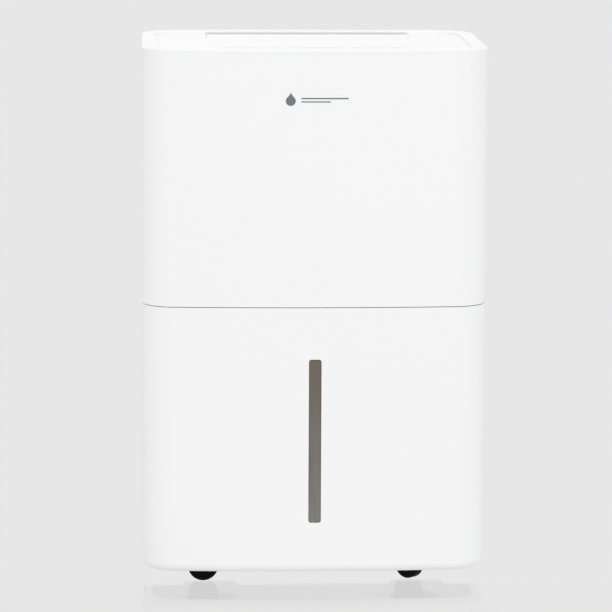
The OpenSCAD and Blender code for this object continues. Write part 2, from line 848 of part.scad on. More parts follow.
module intake_grille() {
    w = 2 * intake_x - 2 * gap;
    h = intake_z1 - intake_z0 - 2 * gap;
    mid = (intake_z0 + intake_z1) / 2;
    rows = floor((h - 36) / 9);
    col = (w - 34) / 3;
    color("whitesmoke") {
        difference() {
            upright(0, mid, w, h, 8 - gap, y_back - wall - 0.3, y_back - 0.3);
            for (i = [0:rows - 1], c = [-1, 0, 1])
                upright(c * (col + 6), mid + (i - (rows - 1) / 2) * 9 - 8, col, 4.6, 2.2, y_back - 5, y_back + 1);
            upright(0, mid + h / 2 - 13, 64, 12, 5, y_back - 5, y_back + 1);
        }
        // posts that carry the filter frame
        for (x = [-1, 1], z = [-1, 1])
            along_y(x * (w / 2 - 7), filter_y + 4, y_back - wall - 0.3 + eps, mid + z * (h / 2 - 7), 3);
    }
}

module filter_frame() {
    w = 2 * intake_x - 2 * gap;
    h = intake_z1 - intake_z0 - 2 * gap;
    mid = (intake_z0 + intake_z1) / 2;
    color("silver") {
        difference() {
            upright(0, mid, w, h, 8 - gap, filter_y, filter_y + 4);
            upright(0, mid, w - 18, h - 18, 4, filter_y - 1, filter_y + 5);
        }
        for (c = [-1, 1])
            box([c * w / 6 - 1.5, filter_y + 2, mid - h / 2 + 8], [c * w / 6 + 1.5, filter_y + 4, mid + h / 2 - 8]);
        box([8 - w / 2, filter_y + 2, mid - 1.5], [w / 2 - 8, filter_y + 4, mid + 1.5]);
    }
}

module filter_mesh() {
    w = 2 * intake_x - 2 * gap - 18;
    h = intake_z1 - intake_z0 - 2 * gap - 18;
    mid = (intake_z0 + intake_z1) / 2;
    color("gray") upright(0, mid, w, h, 4, filter_y + 0.6, filter_y + 1.4);
}

// Cooling circuit -------------------------------------------------------------------------

module coil(y) {
    fin_x = coil_x - 16;
    fin_pitch = 2 * fin_x / (fin_n - 1);
    for (i = [0:fin_n - 1]) {
        x = i * fin_pitch - fin_x;
        box([x - 0.3, y - coil_d / 2, coil_z0], [x + 0.3, y + coil_d / 2, coil_z1]);
    }
    // one serpentine tube
    for (k = [0:coil_rows - 1]) along_x(-tube_end, tube_end, y, tube_z0 + k * tube_pitch, tube_r);
    for (k = [0:coil_rows - 2]) {
        side = k % 2 == 0 ? -1 : 1;
        translate([side * tube_end, y, tube_z0 + k * tube_pitch])
            cylinder(h = tube_pitch, r = tube_r * 1.1);
    }
}

module evaporator() {
    color("silver") coil(evap_y);
}

module condenser() {
    color("darkgoldenrod") coil(cond_y);
}

module compressor() {
    color([0.15, 0.15, 0.16]) {
        translate([compressor_x, bay_y, shell_bottom + 8]) cylinder(h = compressor_h - 20, r = compressor_r);
        // domed ends
        for (d = [[shell_bottom + 8, -1], [compressor_top - 12, 1]]) intersection() {
            translate([compressor_x, bay_y, d[0] - d[1] * compressor_r])
                sphere(r = compressor_r * sqrt(2) + 0.01);
            translate([compressor_x, bay_y, d[0] - (d[1] < 0 ? 12 : 0)]) cylinder(h = 12, r = compressor_r - 0.5);
        }
        // terminal cover
        translate([compressor_x, bay_y, compressor_top - 6]) cylinder(h = 16, r = 13);
        translate([compressor_x, bay_y, feet_z + 7]) cylinder(h = shell_bottom - feet_z, r = compressor_r - 22);
        // foot plate
        difference() {
            linear_extrude_at(feet_z + 6, 2.5) foot_outline();
            for (p = FEET) translate([p.x, p.y, feet_z]) cylinder(h = 20, r = 5.2);
        }
        // accumulator and its link to the shell
        translate([suction_x, bay_y, accumulator_top - 96]) cylinder(h = 96, r = 17);
        pipe([[suction_x, bay_y, accumulator_top - 95], [suction_x, bay_y, shell_bottom + 14],
              [compressor_x - compressor_r + 2, bay_y, shell_bottom + 14]], gas_r);
    }
}

module linear_extrude_at(z, h) {
    translate([0, 0, z]) linear_extrude(h) children();
}

// The foot plate: a disc under the shell with an arm to each foot
module foot_outline() {
    translate([compressor_x, bay_y]) circle(r = compressor_r - 6);
    for (p = FEET) {
        translate(p) circle(r = 10);
        v = p - [compressor_x, bay_y];
        translate([compressor_x, bay_y]) rotate([0, 0, atan2(v.y, v.x)])
            translate([0, -7]) square([norm(v), 14]);
    }
}

module compressor_feet() {
    color([0.1, 0.1, 0.1]) for (p = FEET) translate([p.x, p.y, 0]) difference() {
        union() {
            translate([0, 0, feet_z]) cylinder(h = 6, r = 8.5);
            translate([0, 0, feet_z + 5]) cylinder(h = 5, r = 5);
            translate([0, 0, feet_z + 8.5]) cylinder(h = 3, r = 8);
        }
        translate([0, 0, feet_z - 1]) cylinder(h = 14, r = 3.2);
    }
}

module discharge_pipe() {
    color([0.72, 0.45, 0.2]) pipe([
        [compressor_x + 26, bay_y, compressor_top], [compressor_x + 26, bay_y, discharge_z],
        [compressor_x + 26, riser_y, discharge_z], [riser_x, riser_y, discharge_z],
        [riser_x, riser_y, coil_z1 - 8], [riser_x, cond_y, coil_z1 - 8], [tube_end, cond_y, coil_z1 - 8]
    ], line_r);
}

module suction_pipe() {
    color([0.72, 0.45, 0.2]) pipe([
        [tube_end, evap_y, tube_z0], [riser_x, evap_y, tube_z0], [riser_x, evap_y, suction_z],
        [suction_x, evap_y, suction_z], [suction_x, bay_y, suction_z], [suction_x, bay_y, accumulator_top]
    ], gas_r);
}

module filter_drier() {
    z0 = discharge_z - 90;
    color([0.72, 0.45, 0.2]) {
        pipe([
            [tube_end, cond_y, tube_z0], [liquid_x, cond_y, tube_z0], [liquid_x, cond_y, discharge_z - 12],
            [drier_x, cond_y, discharge_z - 12], [drier_x, cond_y, z0 + 50]
        ], 2.4);
        translate([drier_x, cond_y, z0]) cylinder(h = 56, r = 9);
    }
}

module capillary_tube() {
    z0 = discharge_z - 90;
    color([0.72, 0.45, 0.2]) {
        for (k = [0:3]) translate([drier_x, cond_y, z0 - 14 - 5 * k])
            rotate_extrude() translate([13, 0]) circle(r = 1.3);
        bar([drier_x + 13, cond_y, z0 - 29], [drier_x + 13, cond_y, z0 - 14], 0.9);
        bar([drier_x, cond_y, z0 - 14], [drier_x, cond_y, z0], 1.1);
        bar([drier_x, cond_y, z0 - 14], [drier_x + 13, cond_y, z0 - 14], 0.9);
    }
}

module drain_pan() {
    y0 = cond_y - coil_d / 2 - 3;
    y1 = seat_y - 1;
    x1 = coil_x + 4;
    trough_y = tub_y1 - 30;
    color("whitesmoke") difference() {
        union() {
            box([-x1, y0, drip_z], [x1, y1, drip_z + drip_h]);
            box([inlet_x - 11, trough_y, drip_z], [inlet_x + 11, y0 + 1, drip_z + drip_h]);
            translate([inlet_x, tub_y1 - 20, deck_z - 6]) cylinder(h = drip_z - deck_z + 7, r = 7);
            translate([spout_x, hose_y, deck_z - 6]) cylinder(h = drip_z - deck_z + 7, r = spout_r - 2);
        }
        box([2 - x1, y0 + 2, drip_z + 2], [x1 - 2, y1 - 2, drip_z + drip_h + 1]);
        box([inlet_x - 9, trough_y + 2, drip_z + 2], [inlet_x + 9, y0 + 3, drip_z + drip_h + 1]);
        translate([inlet_x, tub_y1 - 20, deck_z - 7]) cylinder(h = 20, r = 5);
        translate([spout_x, hose_y, deck_z - 7]) cylinder(h = 20, r = 4);
    }
}

// Elbow of hose from the drip tray down to the outlet at the back
module drain_hose() {
    z1 = deck_z - 1;
    color("dimgray") difference() {
        union() {
            translate([spout_x, hose_y, spout_z]) cylinder(h = z1 - spout_z, r = spout_r);
            translate([spout_x, hose_y, spout_z]) sphere(r = spout_r + 1);
            along_y(spout_x, hose_y, spout_back, spout_z, spout_r);
        }
        translate([spout_x, hose_y, spout_z]) cylinder(h = z1 - spout_z + 1, r = spout_r - 1.8);
        along_y(spout_x, hose_y, spout_back + 1, spout_z, 4);
    }
}

module drain_spout() {
    color("whitesmoke") difference() {
        union() {
            along_y(spout_x, spout_back, y_back - spout_depth + 0.5, spout_z, spout_r - 0.5);
            along_y(spout_x, y_back - spout_depth + 0.5, y_back - spout_depth + spout_len, spout_z, spout_r);
        }
        along_y(spout_x, spout_back - 1, y_back, spout_z, spout_r - 2);
    }
}

module cord_gland() {
    y0 = y_back - gland_depth;
    color([0.12, 0.12, 0.12]) difference() {
        union() {
            along_y(gland_x, y0 - pocket_t - 2.5, y0 + 5.5, gland_z, gland_bore_r + 3);
            along_y(gland_x, y0, y0 + 2.5, gland_z, gland_bore_r + 6);
            along_y(gland_x, y0 - pocket_t - 2.5, y0 - pocket_t, gland_z, gland_bore_r + 5);
        }
        along_y(gland_x, y0 - 10, y_back, gland_z, gland_bore_r);
    }
}

// Fan --------------------------------------------------------------------------------------

// Front view of the scroll: a round chamber that opens into a wide throat
module scroll_outline(inset) {
    translate([0, fan_z]) circle(r = scroll_r - inset);
    translate([inset - outlet_x - 2, fan_z + scroll_r * 0.5])
        square([2 * (outlet_x + 2 - inset), duct_z - fan_z - scroll_r * 0.5 + (inset > 0 ? 1 : 0)]);
}

module fan_scroll() {
    color("whitesmoke") difference() {
        translate([0, scroll_y1, 0]) rotate([90, 0, 0]) linear_extrude(scroll_d) scroll_outline(0);
        translate([0, scroll_y1 - scroll_t, 0]) rotate([90, 0, 0])
            linear_extrude(scroll_d - 2 * scroll_t) scroll_outline(scroll_t);
        along_y(0, scroll_y1 - scroll_t - 1, scroll_y1 + 1, fan_z, fan_r - 18);
        along_y(0, scroll_y0 - 1, scroll_y0 + scroll_t + 1, fan_z, 12);
    }
}

module fan_wheel() {
    y0 = scroll_y0 + scroll_t + wheel_gap;
    y1 = scroll_y1 - scroll_t - wheel_gap;
    color("dimgray") difference() {
        union() {
            along_y(0, y0, y0 + 2.5, fan_z, fan_r);
            along_y(0, y0, y0 + 22, fan_z, 11);
            difference() {
                along_y(0, y1 - 4, y1, fan_z, fan_r);
                along_y(0, y1 - 5, y1 + 1, fan_z, fan_r - 14);
            }
            for (i = [0:blade_n - 1]) translate([0, 0, fan_z]) rotate([0, i * 360 / blade_n, 0])
                translate([fan_r - 8, 0, 0]) rotate([0, 28, 0]) box([-6, y0 + 1, -0.8], [6, y1 - 1, 0.8]);
        }
        along_y(0, y0 - 1, y0 + 23, fan_z, shaft_r);
    }
}

module fan_shaft() {
    color("silver") along_y(0, scroll_y0 - motor_len - 6, scroll_y0 + scroll_t + wheel_gap + 22, fan_z, shaft_r);
}

module fan_motor() {
    y1 = scroll_y0 - 4;
    color([0.3, 0.3, 0.32]) difference() {
        union() {
            along_y(0, y1 - motor_len, y1, fan_z, motor_r);
            along_y(0, y1, y1 + 2, fan_z, 9);
            // three lugs on the scroll's front wall
            for (a = [90, 210, 330]) translate([0, 0, fan_z]) rotate([0, a, 0])
                box([motor_r - 8, y1 - 2, -6], [motor_r + 8, scroll_y0, 6]);
        }
        along_y(0, y1 - motor_len - 1, y1 + 3, fan_z, shaft_r + run);
    }
}

// Electrics ----------------------------------------------------------------------------------

module electronics_box() {
    color("ivory") difference() {
        box([elec_x0, elec_y0, elec_z0], [elec_x0 + elec_w, elec_y0 + elec_d, elec_z0 + elec_h]);
        box([elec_x0 + 2, elec_y0 - 1, elec_z0 + 2], [elec_x0 + elec_w - 2, elec_y0 + elec_d - 2, elec_z0 + elec_h - 2]);
    }
}

module main_board() {
    y = elec_y0 + elec_d - 10;
    color("darkgreen") {
        box([elec_x0 + 4, y, elec_z0 + 4], [elec_x0 + elec_w - 4, y + 1.6, elec_z0 + elec_h - 4]);
        for (k = [0:2]) box([elec_x0 + 10, y - 16, elec_z0 + 14 + 30 * k], [elec_x0 + 28, y + eps, elec_z0 + 32 + 30 * k]);
        along_y(elec_x0 + 46, y - 22, y + eps, elec_z0 + 30, 9);
        along_y(elec_x0 + 46, y - 14, y + eps, elec_z0 + 60, 6);
        box([elec_x0 + 38, y - 12, elec_z0 + 84], [elec_x0 + 56, y + eps, elec_z0 + 120]);
    }
}

module run_capacitor() {
    x = x_side - 52;
    y = y_front + 60;
    color("lightsteelblue") {
        translate([x, y, deck_top + 0.5]) cylinder(h = 78, r = 20);
        for (s = [-1, 1]) box([x + s * 6 - 3, y - 0.5, deck_top + 78], [x + s * 6 + 3, y + 0.5, deck_top + 87]);
    }
}

module humidity_sensor() {
    x = -intake_x - 9;
    z = (intake_z0 + intake_z1) / 2;
    color("ivory") difference() {
        box([x - 5, seat_y, z - 12], [x + 5, seat_y + 6, z + 12]);
        for (k = [-2:2]) box([x - 3, seat_y + 4, z + 4 * k - 0.8], [x + 3, seat_y + 7, z + 4 * k + 0.8]);
    }
}

// Casters ------------------------------------------------------------------------------------

module at_caster(c) {
    translate([c[1] * stem_x, c[2], 0]) rotate([0, 0, c[3]]) children();
}

module caster_fork(c) {
    inner = wheel_w / 2 + ear_gap;
    color([0.08, 0.08, 0.08]) at_caster(c) {
        translate([0, 0, crown_z + crown_t - 1]) cylinder(h = stem_top - crown_z - crown_t + 1, r = stem_r);
        translate([0, 0, crown_z]) cylinder(h = crown_t, r = inner + 2.5);
        box([0, -inner - 2.5, crown_z], [trail + 6, inner + 2.5, crown_z + crown_t]);
        for (s = [-1, 1]) {
            y0 = s > 0 ? inner : -inner - 2.5;
            translate([0, y0 + 2.5, 0]) rotate([90, 0, 0]) linear_extrude(2.5) {
                translate([trail, wheel_r]) circle(r = axle_r + 3);
                polygon([[trail - axle_r - 3, wheel_r], [trail + axle_r + 3, wheel_r],
                         [trail + 6, crown_z + 1], [-2, crown_z + 1]]);
            }
        }
        along_y(trail, -inner - 1, inner + 1, wheel_r, axle_r);
    }
}

module caster_wheel(c) {
    half = wheel_w / 2;
    color([0.1, 0.1, 0.1]) at_caster(c) translate([trail, 0, wheel_r]) rotate([90, 0, 0]) rotate_extrude()
        polygon([
            [axle_r + run, -half], [axle_r + 3, -half], [axle_r + 3, -half + 1], [wheel_r - 4, -half + 1],
            [wheel_r - 4, -half], [wheel_r - 1.2, -half], [wheel_r, -half + 1.2],
            [wheel_r, half - 1.2], [wheel_r - 1.2, half], [wheel_r - 4, half],
            [wheel_r - 4, half - 1], [axle_r + 3, half - 1], [axle_r + 3, half], [axle_r + run, half]
        ]);
}

rear_housing();
front_housing();
top_cover();
base_pan();
mid_deck();
bulkhead();
left_grip();
right_grip();
housing_screws();
outlet_flap();
outlet_vanes();
outlet_duct();
control_panel();
display_window();
control_board();
for (b = BUTTONS) push_button(b);
tank_front();
tank_window();
tank_tub();
tank_lid();
tank_handle();
tank_float();
tank_switch();
intake_grille();
filter_frame();
filter_mesh();
evaporator();
condenser();
compressor();
compressor_feet();
discharge_pipe();
suction_pipe();
capillary_tube();
filter_drier();
drain_pan();
drain_hose();
drain_spout();
fan_scroll();
fan_wheel();
fan_shaft();
fan_motor();
electronics_box();
main_board();
run_capacitor();
humidity_sensor();
cord_gland();
for (c = CASTERS) caster_fork(c);
for (c = CASTERS) caster_wheel(c);
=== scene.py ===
# %% [markdown]
# # A room dehumidifier with a pull-out water tank
#
# The cabinet is two moulded white shells under a rimmed top. The lower front is the face of a water tank that
# slides out, with a narrow smoked level window. Air comes in through a filter at the back and leaves through a
# flap in the top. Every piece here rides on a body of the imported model, so it moves when its body moves.

import json
import math

import bmesh
import bpy
from mathutils import Matrix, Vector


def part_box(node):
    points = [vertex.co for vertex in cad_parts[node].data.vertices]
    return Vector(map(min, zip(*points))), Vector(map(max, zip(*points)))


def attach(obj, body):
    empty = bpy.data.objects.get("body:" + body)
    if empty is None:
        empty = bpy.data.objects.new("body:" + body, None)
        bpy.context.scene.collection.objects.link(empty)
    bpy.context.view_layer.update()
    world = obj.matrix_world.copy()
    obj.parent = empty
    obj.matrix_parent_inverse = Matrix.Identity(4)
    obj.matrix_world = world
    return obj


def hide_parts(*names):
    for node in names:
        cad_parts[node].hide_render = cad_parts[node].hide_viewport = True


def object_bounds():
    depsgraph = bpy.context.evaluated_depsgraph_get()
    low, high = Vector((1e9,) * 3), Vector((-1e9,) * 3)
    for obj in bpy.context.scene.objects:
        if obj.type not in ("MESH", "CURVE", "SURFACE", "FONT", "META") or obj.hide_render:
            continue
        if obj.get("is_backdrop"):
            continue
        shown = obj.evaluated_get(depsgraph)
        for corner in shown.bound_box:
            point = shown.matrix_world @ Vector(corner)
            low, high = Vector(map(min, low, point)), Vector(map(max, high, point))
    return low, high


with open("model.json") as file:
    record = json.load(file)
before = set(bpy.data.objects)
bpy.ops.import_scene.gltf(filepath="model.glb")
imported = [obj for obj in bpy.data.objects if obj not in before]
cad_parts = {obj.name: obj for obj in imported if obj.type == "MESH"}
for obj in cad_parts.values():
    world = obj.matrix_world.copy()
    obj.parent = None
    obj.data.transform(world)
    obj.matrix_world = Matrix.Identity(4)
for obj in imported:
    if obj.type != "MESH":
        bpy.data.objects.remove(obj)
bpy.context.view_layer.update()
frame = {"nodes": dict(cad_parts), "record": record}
BODY_OF = {n: body for body, nodes in frame["record"]["behaviour"]["bodies"].items() for n in nodes}
SLOT_OF = {s["node"]: s["material_slot"] for s in frame["record"]["subparts"]}
MM = 0.001

# %% [markdown]
# ## The camera
#
# A long lens keeps the sides of a box nearly parallel, which is how an appliance is usually pictured. The camera
# stands a little left of the middle and above the top, so the rim and the slot of the outlet just show. It could
# be aimed with a constraint, but plain angles are easier to read and to change.

# %% Camera
SENSOR, FOCAL_SENSORS, SHIFT_Y = 36.0, 6.0909, 0.0008
EYE = (-0.1952, -4.3083, 0.9595)
YAW, PITCH, ROLL = math.radians(2.535), math.radians(-8.654), math.radians(0.263)
bpy.context.scene.view_settings.view_transform = "Standard"
camera_data = bpy.data.cameras.new("camera")
camera_data.sensor_width = SENSOR
camera_data.shift_y = SHIFT_Y
camera_data.lens = FOCAL_SENSORS * SENSOR
camera = bpy.data.objects.new("camera", camera_data)
bpy.context.scene.collection.objects.link(camera)
camera.matrix_world = (
    Matrix.Translation(EYE)
    @ Matrix.Rotation(-YAW, 4, "Z")
    @ Matrix.Rotation(math.radians(90) + PITCH, 4, "X")
    @ Matrix.Rotation(ROLL, 4, "Z")
)
bpy.context.scene.camera = camera
print("camera: lens", round(camera_data.lens, 1), "mm, height", round(camera.location.z, 3))

# %% [markdown]
# ## Node helpers
#
# Every material below is wired from the same few steps: read where a point lies, do arithmetic on it, turn it into
# a mask, and mix two colours with that mask. Each step is a small function, so a material reads as a short list.

# %% Node helpers
def plain_material(name):
    """A new material, its nodes and its links. It starts with a Principled BSDF."""
    material = bpy.data.materials.new(name)
    material.use_nodes = True
    return material, material.node_tree.nodes, material.node_tree.links


def feed(tree, socket, value):
    """Links another socket to this one, or sets a plain value on it."""
    if isinstance(value, bpy.types.NodeSocket):
        tree.links.new(value, socket)
    else:
        socket.default_value = value


def math_node(tree, operation, *values):
    """A Math node fed by sockets or plain numbers."""
    node = tree.nodes.new("ShaderNodeMath")
    node.operation = operation
    for socket, value in zip(node.inputs, values):
        feed(tree, socket, value)
    return node.outputs[0]


def ranged(tree, value, start, end, low=0.0, high=1.0):
    """Runs from low to high while the value goes from start to end, and holds beyond them."""
    node = tree.nodes.new("ShaderNodeMapRange")
    for label, number in (("From Min", start), ("From Max", end), ("To Min", low), ("To Max", high)):
        node.inputs[label].default_value = number
    tree.links.new(value, node.inputs["Value"])
    return node.outputs["Result"]


def object_place(tree):
    """The Object coordinates, which stay with a piece when its body moves."""
    return tree.nodes.new("ShaderNodeTexCoord").outputs["Object"]


def axes(tree, vector):
    """The X, Y and Z sockets of a vector."""
    split = tree.nodes.new("ShaderNodeSeparateXYZ")
    tree.links.new(vector, split.inputs[0])
    return split.outputs


def noise_node(tree, scale, detail=2.0, stretch=None):
    """Noise on Object coordinates; stretch squeezes the pattern along chosen axes."""
    place = object_place(tree)
    if stretch is not None:
        mapping = tree.nodes.new("ShaderNodeMapping")
        feed(tree, mapping.inputs["Scale"], stretch)
        tree.links.new(place, mapping.inputs["Vector"])
        place = mapping.outputs["Vector"]
    noise = tree.nodes.new("ShaderNodeTexNoise")
    noise.inputs["Detail"].default_value = detail
    tree.links.new(place, noise.inputs["Vector"])
    feed(tree, noise.inputs["Scale"], scale)
    return noise.outputs["Fac"]


def mixed(tree, mask, first, second):
    """Two colours mixed by a mask."""
    mix = tree.nodes.new("ShaderNodeMix")
    mix.data_type = "RGBA"
    for label, value in (("Factor", mask), ("A", first), ("B", second)):
        feed(tree, mix.inputs[label], value)
    return mix.outputs["Result"]


def scaled_colour(tree, colour, factor):
    """A colour multiplied by a number that varies over the surface."""
    scale = tree.nodes.new("ShaderNodeVectorMath")
    scale.operation = "SCALE"
    tree.links.new(colour, scale.inputs[0])
    tree.links.new(factor, scale.inputs["Scale"])
    return scale.outputs[0]


def two_tone(tree, mask, first, second):
    """A colour ramp driven by a mask. Each end is (position, colour)."""
    ramp = tree.nodes.new("ShaderNodeValToRGB")
    for stop, (position, colour) in zip(ramp.color_ramp.elements, (first, second)):
        stop.position = position
        stop.color = (*colour, 1)
    tree.links.new(mask, ramp.inputs["Fac"])
    return ramp.outputs["Color"]


print("helpers ready")

# %% [markdown]
# ## Floor and light
#
# The backdrop is one pale floor that runs past the edges of the view. Most of its tone is given off by the floor
# itself, which keeps it even from near to far. In front of the casing it turns faintly glossy, so the foot of the
# casing is mirrored there. Beside the casters the gloss starts a little further back, where they touch the floor.
# The light is a white surround, with one broad soft sun from the front right and a weak one from behind, which
# keeps the back of the rim bright. The weak one is left out of mirrored light, so that it makes no glare.

# %% Floor
FLOOR_GLOW, FLOOR_MIRROR, FLOOR_ROUGH, FLOOR_REACH = 0.80, 0.20, 0.06, 200.0
GLOSS_STARTS, GLOSS_FULL = -0.118, -0.136
GLOSS_GONE, GLOSS_FADES = -0.75, -0.35
CASTER_X, CASTER_SPAN, CASTER_LEAD = 0.119, 0.030, 0.018

floor_material, nodes, links = plain_material("studio floor")
tree = floor_material.node_tree
nodes.remove(nodes["Principled BSDF"])
glow = nodes.new("ShaderNodeEmission")
glow.inputs["Strength"].default_value = FLOOR_GLOW
mirror = nodes.new("ShaderNodeBsdfGlossy")
mirror.inputs["Roughness"].default_value = FLOOR_ROUGH
across = axes(tree, object_place(tree))
beside = math_node(tree, "COMPARE", math_node(tree, "ABSOLUTE", across["X"]), CASTER_X, CASTER_SPAN)
nearer = math_node(tree, "MULTIPLY_ADD", beside, -CASTER_LEAD, across["Y"])
gloss = ranged(tree, nearer, GLOSS_STARTS, GLOSS_FULL, 0.0, FLOOR_MIRROR)
fade = ranged(tree, across["Y"], GLOSS_GONE, GLOSS_FADES)
blend = nodes.new("ShaderNodeMixShader")
links.new(math_node(tree, "MULTIPLY", gloss, fade), blend.inputs["Fac"])
links.new(glow.outputs[0], blend.inputs[1])
links.new(mirror.outputs[0], blend.inputs[2])
links.new(blend.outputs[0], nodes["Material Output"].inputs["Surface"])
floor_mesh = bpy.data.meshes.new("floor")
corners = [(x * FLOOR_REACH, y * FLOOR_REACH, 0) for x, y in ((-1, -1), (1, -1), (1, 1), (-1, 1))]
floor_mesh.from_pydata(corners, [], [(0, 1, 2, 3)])
floor_mesh.materials.append(floor_material)
floor = bpy.data.objects.new("floor", floor_mesh)
bpy.context.scene.collection.objects.link(floor)
floor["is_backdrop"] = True
print("floor: glow", FLOOR_GLOW, "mirror", FLOOR_MIRROR)

# %% Light
SURROUND = 0.94
# name, strength, spread, tilt and turn in degrees, seen in mirrored light
SUNS = [("soft sun", 0.53, 50, 62, 6, True), ("rim sun", 0.52, 40, -68, 0, False)]

world = bpy.data.worlds.new("surround")
bpy.context.scene.world = world
world.use_nodes = True
world.node_tree.nodes["Background"].inputs["Color"].default_value = (1, 1, 1, 1)
world.node_tree.nodes["Background"].inputs["Strength"].default_value = SURROUND

for name, energy, spread, tilt, turn, mirrored in SUNS:
    sun_data = bpy.data.lights.new(name, "SUN")
    sun_data.energy = energy
    sun_data.angle = math.radians(spread)
    sun = bpy.data.objects.new(name, sun_data)
    sun.rotation_euler = (math.radians(tilt), 0, math.radians(turn))
    sun.visible_glossy = mirrored
    bpy.context.scene.collection.objects.link(sun)
print("light: surround", SURROUND, "and", len(SUNS), "suns")

# %% [markdown]
# ## Shared surface effects
#
# Moulded plastic is never one flat tone: the mould's texture breaks up the gloss, and the colour drifts a little
# across a big panel. That effect is made once, as a node group with named inputs, and each plastic uses it with
# its own numbers. A second group adds the dust that settles on upward faces and in corners of the air path, and a
# third dulls bare metal in patches or streaks.

# %% Moulded surface group
FLOAT, COLOUR, VECTOR = "NodeSocketFloat", "NodeSocketColor", "NodeSocketVector"


def new_group(name, inputs, outputs):
    """An empty shader node group with the given sockets, and its two end nodes."""
    group = bpy.data.node_groups.new(name, "ShaderNodeTree")
    for label, kind, value in inputs:
        group.interface.new_socket(label, in_out="INPUT", socket_type=kind).default_value = value
    for label, kind in outputs:
        group.interface.new_socket(label, in_out="OUTPUT", socket_type=kind)
    return group, group.nodes.new("NodeGroupInput"), group.nodes.new("NodeGroupOutput")


MOULDED, given, made = new_group(
    "moulded surface",
    [
        ("Colour", COLOUR, (0.8, 0.8, 0.8, 1)),
        ("Drift", FLOAT, 0.01),
        ("Grain Scale", FLOAT, 1400.0),
        ("Roughness", FLOAT, 0.4),
        ("Roughness Spread", FLOAT, 0.06),
    ],
    [("Colour", COLOUR), ("Roughness", FLOAT), ("Height", FLOAT)],
)
broad = math_node(MOULDED, "SUBTRACT", noise_node(MOULDED, 7.0), 0.5)
drift = math_node(MOULDED, "MULTIPLY_ADD", broad, given.outputs["Drift"], 1.0)
MOULDED.links.new(scaled_colour(MOULDED, given.outputs["Colour"], drift), made.inputs["Colour"])
patch = math_node(MOULDED, "SUBTRACT", noise_node(MOULDED, 45.0, 4.0), 0.5)
patch = math_node(MOULDED, "MULTIPLY", patch, given.outputs["Roughness Spread"])
MOULDED.links.new(math_node(MOULDED, "ADD", patch, given.outputs["Roughness"]), made.inputs["Roughness"])
MOULDED.links.new(noise_node(MOULDED, given.outputs["Grain Scale"], 3.0), made.inputs["Height"])
print("group:", MOULDED.name)

# %% Dust and tarnish groups
DUST, given, made = new_group(
    "settled dust",
    [
        ("Colour", COLOUR, (0.8, 0.8, 0.8, 1)),
        ("Dust Colour", COLOUR, (0.42, 0.40, 0.37, 1)),
        ("Amount", FLOAT, 0.2),
    ],
    [("Colour", COLOUR), ("Mask", FLOAT)],
)
facing = axes(DUST, DUST.nodes.new("ShaderNodeNewGeometry").outputs["Normal"])
upward = math_node(DUST, "MULTIPLY_ADD", facing["Z"], 0.4, 0.6)
speckle = math_node(DUST, "MULTIPLY", noise_node(DUST, 160.0, 5.0), upward)
mask = math_node(DUST, "MULTIPLY", speckle, given.outputs["Amount"])
DUST.links.new(mixed(DUST, mask, given.outputs["Colour"], given.outputs["Dust Colour"]), made.inputs["Colour"])
DUST.links.new(mask, made.inputs["Mask"])

TARNISH, given, made = new_group(
    "tarnish",
    [
        ("Clean", COLOUR, (0.8, 0.8, 0.8, 1)),
        ("Tarnished", COLOUR, (0.5, 0.5, 0.5, 1)),
        ("Scale", FLOAT, 60.0),
        ("Stretch", VECTOR, (1.0, 1.0, 1.0)),
    ],
    [("Colour", COLOUR)],
)
patches = noise_node(TARNISH, given.outputs["Scale"], 4.0, given.outputs["Stretch"])
tarnished = mixed(TARNISH, patches, given.outputs["Clean"], given.outputs["Tarnished"])
TARNISH.links.new(tarnished, made.inputs["Colour"])
print("groups:", [g.name for g in bpy.data.node_groups])

# %% [markdown]
# ## Finishes
#
# One function makes a plastic from a colour and a few numbers, and one makes a metal, so that the finishes differ
# only where the real ones do. The Principled shader stays in each material, and what is the same all over is set
# on the shader itself.

# %% Plastics
def group_node(tree, group, **values):
    """Places a shared group in a material, with its own numbers."""
    node = tree.nodes.new("ShaderNodeGroup")
    node.node_tree = group
    for label, value in values.items():
        node.inputs[label.replace("_", " ")].default_value = value
    return node


def bump(tree, height, distance, shader, strength=0.4):
    """Feeds a height into the shader's normal."""
    node = tree.nodes.new("ShaderNodeBump")
    node.inputs["Distance"].default_value = distance
    node.inputs["Strength"].default_value = strength
    tree.links.new(height, node.inputs["Height"])
    tree.links.new(node.outputs["Normal"], shader.inputs["Normal"])


def textured(tree, surface, depth, shader):
    """Feeds a moulded surface's gloss and its fine relief into the shader."""
    tree.links.new(surface.outputs["Roughness"], shader.inputs["Roughness"])
    bump(tree, surface.outputs["Height"], depth, shader)


def dusted(tree, colour, amount):
    """The colour under settled dust, or the colour itself where there is none."""
    if not amount:
        return colour
    settled = group_node(tree, DUST, Amount=amount)
    tree.links.new(colour, settled.inputs["Colour"])
    return settled.outputs["Colour"]


def plastic(name, colour, rough=0.4, drift=0.012, grain=1400.0, depth=0.00002, dust=0.0, **shader_values):
    """Moulded plastic. Extra values go straight onto the shader's sockets."""
    material, nodes, links = plain_material(name)
    tree = material.node_tree
    shader = nodes["Principled BSDF"]
    surface = group_node(tree, MOULDED, Colour=(*colour, 1), Drift=drift, Grain_Scale=grain, Roughness=rough)
    links.new(dusted(tree, surface.outputs["Colour"], dust), shader.inputs["Base Color"])
    textured(tree, surface, depth, shader)
    for label, value in shader_values.items():
        shader.inputs[label.replace("_", " ")].default_value = value
    return material


